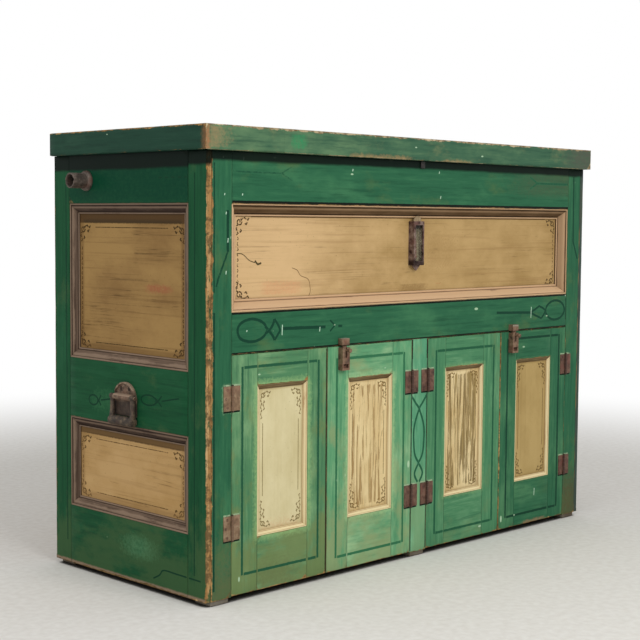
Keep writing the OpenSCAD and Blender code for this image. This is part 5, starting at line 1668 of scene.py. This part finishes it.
def draw_mark(shape, kind, proud, details, spot, inks):
    """Adds the closed slab of one mark. spot(across, up, height) puts a corner where it belongs."""
    if kind == "stroke":
        run, width, ink = details
        loops = []
        for i, (across, up) in enumerate(run):
            before, after = run[max(i - 1, 0)], run[min(i + 1, len(run) - 1)]
            length = math.dist(before, after) or 1.0
            side_a, side_u = (before[1] - after[1]) / length, (after[0] - before[0]) / length
            loop = []
            for off, height, strength in ((-0.5, -mark_sunk, 0.1), (-0.5, proud, 0.1), (-0.27, proud, 1.0),
                                          (0.27, proud, 1.0), (0.5, proud, 0.1), (0.5, -mark_sunk, 0.1)):
                loop.append(shape.verts.new(spot(across + side_a * off * width, up + side_u * off * width, height)))
                inks.append(strength * ink)
            loops.append(loop)
        join_loops(shape, loops)
        return
    (cut_low, cut_high), (low, high), fall, ink = details
    finest = min([f for f in fall if f > 0] + [30]) / 2
    counts = [max(2, min(36, round((cut_high[k] - cut_low[k]) / finest))) for k in (0, 1)]
    grid, known = [], {}
    for j in range(counts[1] + 1):
        row = []
        for i in range(counts[0] + 1):
            across = cut_low[0] + (cut_high[0] - cut_low[0]) * i / counts[0]
            up = cut_low[1] + (cut_high[1] - cut_low[1]) * j / counts[1]
            strength = (ink * faded(across - low[0], fall[0]) * faded(high[0] - across, fall[1]) *
                        faded(up - low[1], fall[2]) * faded(high[1] - up, fall[3]))
            row.append(shape.verts.new(spot(across, up, proud)))
            known[row[-1]] = (across, up, strength)
            inks.append(strength)
        grid.append(row)
    for one, two in zip(grid, grid[1:]):
        for i in range(counts[0]):
            shape.faces.new((one[i], one[i + 1], two[i + 1], two[i]))
    rim = grid[0] + [row[-1] for row in grid[1:-1]] + grid[-1][::-1] + [row[0] for row in reversed(grid[1:-1])]
    skirt = []
    for edge_corner in rim:
        across, up, strength = known[edge_corner]
        skirt.append(shape.verts.new(spot(across, up, -mark_sunk)))
        inks.append(strength)
    join_loops(shape, [rim, skirt], capped=False)
    shape.faces.new(skirt)


def marked(finish, tone, hold, soft):
    """The same paint with a mark of this tone laid on it. Each is made once."""
    name = f"{finish}, {'patch' if soft else 'mark'} {tone[1:]} at {round(hold * 100)}"
    if name not in bpy.data.materials:
        make, tones = recipes[finish]
        make(name, mark=tone, hold=hold, soft=soft, **tones)
    return bpy.data.materials[name]


def lay_all():
    """Makes the meshes of all marks noted so far, one for each board, tone and hold."""
    for count, ((name, side, tone, hold, soft), marks) in enumerate(laid.items()):
        board = boards[name]
        face = {"front": board["low"][1], "left": board["low"][0], "right": body_w - board["high"][0]}[side]
        where = facing(side, face)
        shape, places, inks = bmesh.new(), [], []

        def spot(across, up, height):
            """A corner of a mark in the model, noted in cabinet millimetres too."""
            places.append(where(across, up, -height))
            return place(*places[-1])

        for kind, proud, details in marks:
            draw_mark(shape, kind, proud, details, spot, inks)
        bmesh.ops.recalc_face_normals(shape, faces=shape.faces)
        mesh = bpy.data.meshes.new(f"{name}_marks_{count + 1}")
        shape.to_mesh(mesh)
        shape.free()
        write_values(mesh, board, places, inks)
        put(mesh.name, mesh, marked(board["finish"], tone, hold, soft), board["body"])
    print("marks:", sum(marks_on.values()), "in", len(laid), "meshes")


print("marks stand", mark_proud, "mm proud and are drawn in steps of", stroke_step, "mm")

# %% Patches of dirt, wear and painted shade
FRAME = tuple("front_" + part for part in ("left_stile_board", "right_stile_board", "centre_stile_board",
                                           "top_rail_board", "middle_rail_board"))
HALOS = (("#8fb478", 22, 0.12), ("#9dc08a", 20, 0.12), ("#7ba36f", 14, 0.1), ("#4c7850", 10, 0.1))
for n, (tone, wide, hold) in enumerate(HALOS):
    name = f"door_{n + 1}_"
    panel_low, panel_high = extent(name + "panel")
    x0, x1, z0, z1 = panel_low[0], panel_high[0], panel_low[2], panel_high[2]
    leaf = tuple(name + part for part in ("left_stile", "right_stile", "bottom_rail", "top_rail"))
    blot("front", leaf[3], (x0, z1), (x1, z1 + wide), tone, hold, (0, 0, 0, wide))
    blot("front", leaf[2], (x0, z0 - wide), (x1, z0), tone, hold, (0, 0, wide, 0), 0.9)
    blot("front", leaf[0], (x0 - wide, z0 - wide), (x0, z1 + wide), tone, hold, (wide, 0, wide, wide), 0.95)
    blot("front", leaf[1], (x1, z0 - wide), (x1 + wide, z1 + wide), tone, hold, (0, wide, wide, wide), 0.95)
for n, axis_x, mid_z in hinge_places:
    group = FRAME + (f"door_{n + 1}_left_stile", f"door_{n + 1}_right_stile")
    halo = "#6b9577" if n in (1, 2) else "#8db086" if n == 0 else "#4f7d5c"
    blot("front", group, (axis_x - leaf_w - 10, mid_z - hinge_h / 2 - 15), (axis_x + leaf_w + 10, mid_z + hinge_h / 2 + 12),
         halo, 0.0, (9, 9, 14, 11), 0.9)
blot("front", "door_1_panel_board", (135, 126), (280, 190), "#cda37c", 0.0, (20, 20, 0, 60), 0.9)
blot("front", "door_1_bottom_rail", (90, 10), (318, 110), "#67724a", 0.0, (60, 90, 0, 60), 0.9)
blot("front", "door_4_bottom_rail", (1040, 12), (1180, 26), "#a0765a", 0.0, (30, 30, 0, 8), 0.9)
blot("front", "front_right_stile_board", (1225, 0), (1310, 190), "#534d33", 0.05, (14, 0, 0, 110), 1.0)
blot("front", "front_left_stile_board", (14, 0), (67, 230), "#5a6543", 0.05, (0, 0, 0, 190), 1.0)
blot("front", "front_top_rail_board", (820, 830), (1300, 930), "#46583f", 0.0, (260, 0, 30, 20), 0.9)
blot("front", "lid_front_board", (-13, 925), (6, 976), "#a0724f", 0.1, (0, 12, 0, 0), 1.0)
blot("front", "lid_front_board", (0, 925), (110, 976), "#94805c", -0.02, (0, 100, 6, 6), 1.0)
blot("front", "lid_front_board", (330, 925), (640, 942), "#a9855a", 0.0, (90, 60, 0, 14), 1.0)
blot("front", "lid_front_board", (660, 925), (860, 939), "#a9855a", 0.0, (60, 60, 0, 12), 1.0)
blot("front", "lid_front_board", (200, 926), (285, 975), "#2f8a58", -0.05, (30, 30, 12, 12), 1.0)
blot("front", "lid_front_board", (1130, 925), (1317, 976), "#505649", 0.1, (130, 0, 0, 0), 1.0)
blot("front", "long_panel", (575, 618), (735, 660), "#876a41", -0.1, (40, 50, 8, 16), 1.0)
blot("front", "long_panel", (722, 630), (760, 668), "#ab6a43", -0.12, (10, 10, 10, 10), 1.0)
blot("front", "long_panel", (130, 618), (330, 675), "#cf9a70", -0.1, (50, 60, 14, 22), 1.0)
blot("front", "long_panel", (560, 640), (900, 790), "#a08152", -0.15, (150, 120, 40, 40), 1.0)
for side in ("left", "right"):
    blot(side, side + "_end_upper_panel", (92, 622), (246, 660), "#9a5a40", -0.02, (50, 50, 14, 14))
    # A dark patch over each end's top rail: the lid's painted shadow.
    blot(side, side + "_end_top_rail", (20, 790), (500, 925), "#003a26", 0.15, (30, 30, 40, 0))
    blot(side, side + "_end_bottom_rail", (90, 40), (350, 135), "#4f7d57", -0.02, (110, 110, 35, 35), 1.0)
    blot(side, side + "_end_middle_rail", (250, 340), (430, 440), "#2f6440", -0.08, (60, 60, 35, 35), 1.0)
    foot_boards = tuple(side + part for part in ("_end_back_stile", "_end_bottom_rail", "_end_front_board"))
    blot(side, foot_boards, (0, foot_h), (body_d, foot_h + 9), "#8a7560", 0.3, (0, 0, 0, 4), 1.0)
    blot(side, "lid_" + side + "_board", (-13, 925), (10, 976), "#7d5a3c", 0.1, (0, 18, 0, 0))
    # Under each end panel's top moulding a dark band: the moulding's painted shadow. The loop's third number sets its
    # height.
    for label, z1, dirt in (("upper", up_z1, 22), ("lower", low_z1, 15)):
        blot(side, side + "_end_" + label + "_panel", (side_y0 + 20, z1 - 22 - dirt), (side_y1 - 20, z1 - 20), "#453521",
             0.4, (0, 0, 3, 0))
print("patches noted:", sum(marks_on.values()))

# %% Lines on the front frame
RAIL_LINE = "#123d2c"
STILE_LINE = "#22583e"
EDGE_LINE = "#123c2b"

ring_left = curved((83, 560), (93, 576), (123, 583), (152, 575), (165, 559), (152, 543), (123, 536), (93, 543),
                   closed=True)
stroke("front", FRAME, ring_left, 8, RAIL_LINE, 0.3)
stroke("front", FRAME, curved((160, 566), (172, 555), (182, 544), (187, 536)), 7, RAIL_LINE)
stroke("front", FRAME, curved((160, 551), (172, 558), (182, 569), (186, 580)), 7, RAIL_LINE)
stroke("front", FRAME, curved((187, 536), (196, 547), (202, 556), (196, 568), (186, 580)), 6, RAIL_LINE)
stroke("front", FRAME, straight((208, 559), (338, 556)), 7.5, RAIL_LINE)
stroke("front", FRAME, straight((352, 570), (367, 558), (352, 546)), 5, RAIL_LINE, 0.3)
stroke("front", FRAME, straight((378, 556), (390, 556)), 7, RAIL_LINE, 0.3)
ring_right = curved((1146, 558), (1158, 575), (1187, 583), (1216, 576), (1229, 558), (1216, 540), (1187, 533),
                    (1158, 541), closed=True)
stroke("front", FRAME, ring_right, 8, RAIL_LINE, 0.3)
stroke("front", FRAME, straight((941, 561), (1079, 556)), 7, RAIL_LINE)
stroke("front", FRAME, curved((1079, 556), (1100, 563), (1117, 571)), 6, RAIL_LINE)
stroke("front", FRAME, curved((1079, 556), (1104, 547), (1128, 539)), 6, RAIL_LINE)
stroke("front", FRAME, curved((1117, 571), (1134, 565), (1146, 558)), 6, RAIL_LINE)
stroke("front", FRAME, curved((1128, 539), (1138, 548), (1146, 558)), 6, RAIL_LINE)
stroke("front", FRAME, straight((1235.2, 588), (1235.2, 531)), 3, RAIL_LINE)

for low_side in (1, -1):
    middle_x = (centre_x0 + centre_x1) / 2
    strand = [(27.5, 380), (12, 362), (-1, 346), (-17, 307), (-18, 271), (-13, 240), (0, 220), (14, 196), (3, 175)]
    stroke("front", FRAME, curved(*[(middle_x + low_side * x, z) for x, z in strand]), 6.5, STILE_LINE)
stroke("front", FRAME, straight((56, 806), (56, 722)), 7.5, EDGE_LINE, 0.5)
stroke("front", FRAME, straight((56, 722), (31, 668), (26, 652)), 7, EDGE_LINE, 0.1)
stroke("front", FRAME, straight((1260, 905), (1262, 790), (1263, 735), (1283, 690)), 5.5, EDGE_LINE)
stroke("front", FRAME, straight((20, 600), (20, 30)), 6, EDGE_LINE, 0.35)
stroke("front", FRAME, straight((20, 900), (20, 640)), 5, EDGE_LINE, 0.15)
for bar, tip, back in ((205, 70, -1), (1100, 1234, 1)):
    stroke("front", FRAME, straight((bar, 884), (tip, 884)), 6, "#1f4f38", 0.05)
    stroke("front", FRAME, straight((bar - back * 31, 899), (bar, 884), (bar - back * 31, 869)), 5, "#1f4f38", 0.0)
print("front lines noted:", sum(marks_on.values()))

# %% Dirt and painted shade in the joints
SEAM_DIRT_AND_SHADE = "#0c130e"
# Dark strokes along the rail joints, beside the centre stile and at door 1's meeting edge: dirt in the joints together
# with the shade in the gaps, painted.
for z, wide in ((top_z0 + 2.6, 6.5), (mid_z1 - 2.0, 4.5)):
    stroke("front", FRAME, straight((stile_w + 1, z), (body_w - stile_w - 1, z)), wide, SEAM_DIRT_AND_SHADE, 0.5)
for x in (centre_x0 + 1.4, centre_x1 - 1.4):
    stroke("front", FRAME, straight((x, foot_h + 4), (x, mid_z0 - 2)), 3.4, SEAM_DIRT_AND_SHADE, 0.25)
    stroke("front", FRAME, straight((x, 466), (x, mid_z0 - 1)), 5, SEAM_DIRT_AND_SHADE, 0.5)
stroke("front", FRAME, straight((stile_w + 1, mid_z0 + 1.5), (body_w - stile_w - 1, mid_z0 + 1.5)), 3.4, SEAM_DIRT_AND_SHADE, 0.35)
meeting_x = extent("door_1_frame")[1][0] - 1.8
stroke("front", ("door_1_right_stile", ), straight((meeting_x, foot_h + 6), (meeting_x, mid_z0 - 4)), 4.4, "#2c2418", 0.4)

# %% Lines on the doors
DOOR_LINES = ("#24553c", "#326c4a", "#23573c", "#123c2a")
PANEL_LINES = ("#7d6c44", "#70592f", "#70592f", "#5f4b29")
frames = {1: (97, 318, 51, 486), 2: (375, 597, 40, 485), 3: (712, 932, 41, 482), 4: (989, 1208, 38, 494)}


def scroll(side, board, corner, reach, tone, hold, size=1.0):
    """A stencilled corner: a curl, and short commas along both legs. reach is signed (across, up)."""
    group = (board, )
    way = (math.copysign(1, reach[0]), math.copysign(1, reach[1]))

    def at(across, up):
        return (corner[0] + way[0] * across, corner[1] + way[1] * up)

    curl = [(10 + (8 - n * 0.7) * math.cos(n * 0.8), 10 + (8 - n * 0.7) * math.sin(n * 0.8)) for n in range(10)]
    stroke(side, group, curved(*[at(a * size, u * size) for a, u in curl]), 4.4 * size, tone, hold)
    for leg in (0, 1):
        for row in (0, 1):
            count = int(abs(reach[leg]) * (1 - 0.35 * row) // (9 * size))
            for n in range(1 + row, count):
                start = (n * 9 + 4 * row + 4) * size
                mid = (4 + 9 * row) * size
                bend = (3.4 if (n + row) % 2 else -2.4) * size
                comma = [(start, mid), (start + 3 * size, mid + bend), (start + 6 * size, mid - bend / 2)]
                stroke(side, group, curved(*[at(*(p if leg == 0 else p[::-1])) for p in comma]), (4.8 - 0.2 * n) * size,
                       tone, hold)


def beads(side, board, across, z0, z1, tone, hold, size=1.0):
    """A column of short stencilled commas from one height to another."""
    step = 11 * size
    for n in range(int((z1 - z0) / step)):
        z = z0 + n * step
        lean = (1.6 if n % 2 else -1.2) * size
        comma = curved((across - lean, z), (across + lean, z + 2.5 * size), (across - lean / 2, z + 6.5 * size))
        stroke(side, (board, ), comma, 3.8 * size, tone, hold)


for n, (x0, x1, z0, z1) in frames.items():
    name = f"door_{n}_"
    group = (name + "left_stile", name + "right_stile", name + "bottom_rail", name + "top_rail")
    for run in (((x0, z1), (x0, z0)), ((x1, z1), (x1, z0)), ((x0 + 5, z1 - 2), (x1 - 5, z1 - 2)),
                ((x0 + 5, z0 + 2), (x1 - 5, z0 + 2))):
        stroke("front", group, straight(*run), 8, DOOR_LINES[n - 1], 0.3)
    panel_low, panel_high = extent(name + "panel")
    board = name + "panel_board"
    inner = [(panel_low[0] + 21, panel_low[2] + 22), (panel_high[0] - 21, panel_high[2] - 22)]
    for x in (inner[0][0], inner[1][0]):
        stroke("front", (board, ), straight((x, inner[0][1] + 60), (x, inner[1][1] - 60)), 2.4, PANEL_LINES[n - 1], 0.2)
    for i, way_across in ((0, 1), (1, -1)):
        for j, way_up in ((0, 1), (1, -1)):
            scroll("front", board, (inner[i][0] - 8 * way_across, inner[j][1] - 8 * way_up),
                   (36 * way_across, 64 * way_up), PANEL_LINES[n - 1], 0.3, 0.8)
print("marks noted:", sum(marks_on.values()))

# %% Borders of the long panel and the ends
LONG_LINE = "#6f5533"
long_board = boards["long_panel"]
field = (94, 1210, 622, 793)
stroke("front", ("long_panel", ), straight((field[0] + 45, field[3]), (field[1] - 45, field[3])), 2.8, LONG_LINE, 0.3)
stroke("front", ("long_panel", ), straight((320, field[2]), (field[1] - 30, field[2])), 3.4, "#5c4424", 0.5)
for x, way_across in ((field[0], 1), (field[1], -1)):
    beads("front", "long_panel", x + 8 * way_across, field[2] + 24, field[3] - 30, "#463620", 0.06)
    for z, way_up in ((field[2], 1), (field[3], -1)):
        scroll("front", "long_panel", (x + 2 * way_across, z), (42 * way_across, 42 * way_up), "#463620", 0.2)
stroke("front", ("long_panel", ), curved((100, 717), (112, 717), (122, 712), (134, 703), (150, 698), (163, 696)), 2.4,
       "#5e5236", 0.4)
stroke("front", ("long_panel", ), straight((150, 702), (158, 694), (168, 697)), 5, "#4c4229", 0.4)
stroke("front", ("long_panel", ), curved((257, 685), (272, 680), (283, 668), (305, 660), (311, 645), (312, 632), (306, 622)),
       1.3, "#6a5030", 0.7)

END_LINE = "#0a3523"
for side in ("left", "right"):
    ends = tuple(side + "_end_" + part for part in ("front_board", "back_stile", "bottom_rail", "middle_rail", "top_rail"))
    for y0, y1, z0, z1 in ((399, 318, 389, 397), (212, 86, 407, 420)):
        way = -1 if y0 > y1 else 1
        span_y = abs(y1 - y0)
        oval = curved(*[(y0 + way * (span_y * 0.2 - span_y * 0.2 * math.cos(a / 4 * math.pi)),
                         z0 + 11 * math.sin(a / 4 * math.pi)) for a in range(8)], closed=True)
        stroke(side, ends, oval, 4, END_LINE, 0.45)
        x0, x1 = y0 + way * span_y * 0.36, y0 + way * span_y * 0.55
        stroke(side, ends, curved((x0, z0 + 7), ((x0 + x1) / 2, z0), (x1, z0 - 10)), 4, END_LINE, 0.45)
        stroke(side, ends, curved((x0, z0 - 7), ((x0 + x1) / 2, z0 + 1), (x1, z0 + 13)), 4, END_LINE, 0.45)
        stroke(side, ends, straight((x1, z0 + 2), (y1, z1)), 3.5, END_LINE, 0.45)
    for y in (37, 483):
        stroke(side, ends, straight((y, 60), (y, 880)), 3.5, END_LINE, 0.4)
    for k in range(5):
        stroke(side, ends, straight((58 + k * 21, 872), (69 + k * 21, 872)), 4, END_LINE, 0.4)
    stroke(side, ends, curved((171, 30), (150, 41), (136, 53), (90, 53), (17, 52)), 4, END_LINE, 0.4)
    # The border lines keep clear of the moulding's painted shadow, by the last number.
    for label, z0, z1, tone, dirt in (("upper", up_z0, up_z1, "#3b2c16", 22), ("lower", low_z0, low_z1, "#5a4526", 15)):
        board = side + "_end_" + label + "_panel"
        y_in, z_in = side_y0 + 30, z0 + 30
        y_out, z_out = side_y1 - 30, z1 - 30 - dirt
        for y in (y_in, y_out):
            beads(side, board, y, z_in + 35, z_out - 35, tone, 0.15)
        for z in (z_in + 8, z_out):
            stroke(side, (board, ), straight((y_in + 50, z), (y_out - 50, z)), 2.6, tone, 0.1)
        for y, way_across in ((y_in, 1), (y_out, -1)):
            for z, way_up in ((z_in, 1), (z_out, -1)):
                scroll(side, board, (y - 6 * way_across, z - 6 * way_up), (42 * way_across, 42 * way_up), tone, 0.25)
print("marks noted:", sum(marks_on.values()))

# %% Painted shadows under the hinges, pale lines over them, and fresh nicks
IRON_SHADE = "#0d1f16"
for n, axis_x, mid_z in hinge_places:
    group = FRAME + (f"door_{n + 1}_left_stile", f"door_{n + 1}_right_stile")
    x0, x1 = axis_x - leaf_w, axis_x + leaf_w
    below, above = mid_z - hinge_h / 2, mid_z + hinge_h / 2
    stroke("front", group, straight((x0 + 1, above + 1.6), (x1 - 1, above + 1.6)), 5, "#9fb491", 0.1)
    # Under each hinge a dark stroke: the leaf's painted shadow.
    stroke("front", group, straight((x0, below - 1.2), (x1, below - 1.2)), 5.5, IRON_SHADE, 0.7)
for x, z, tall in ((43, 912, 4), (98, 911, 7), (95, 838, 4), (47, 838, 4), (51, 800, 5), (56, 745, 9), (51, 680, 7),
                   (419, 897, 5), (713, 900, 5), (719, 842, 6), (208, 556, 22), (320, 552, 10), (108, 559, 4),
                   (66, 514, 7), (1232, 596, 7), (1083, 556, 28), (1110, 90, 18), (1210, 500, 6)):
    stroke("front", FRAME + ("door_4_bottom_rail", ), straight((x, z - tall / 2), (x + 1, z + tall / 2)), 2.4, "#b7d6bd", 0.5)
lay_all()
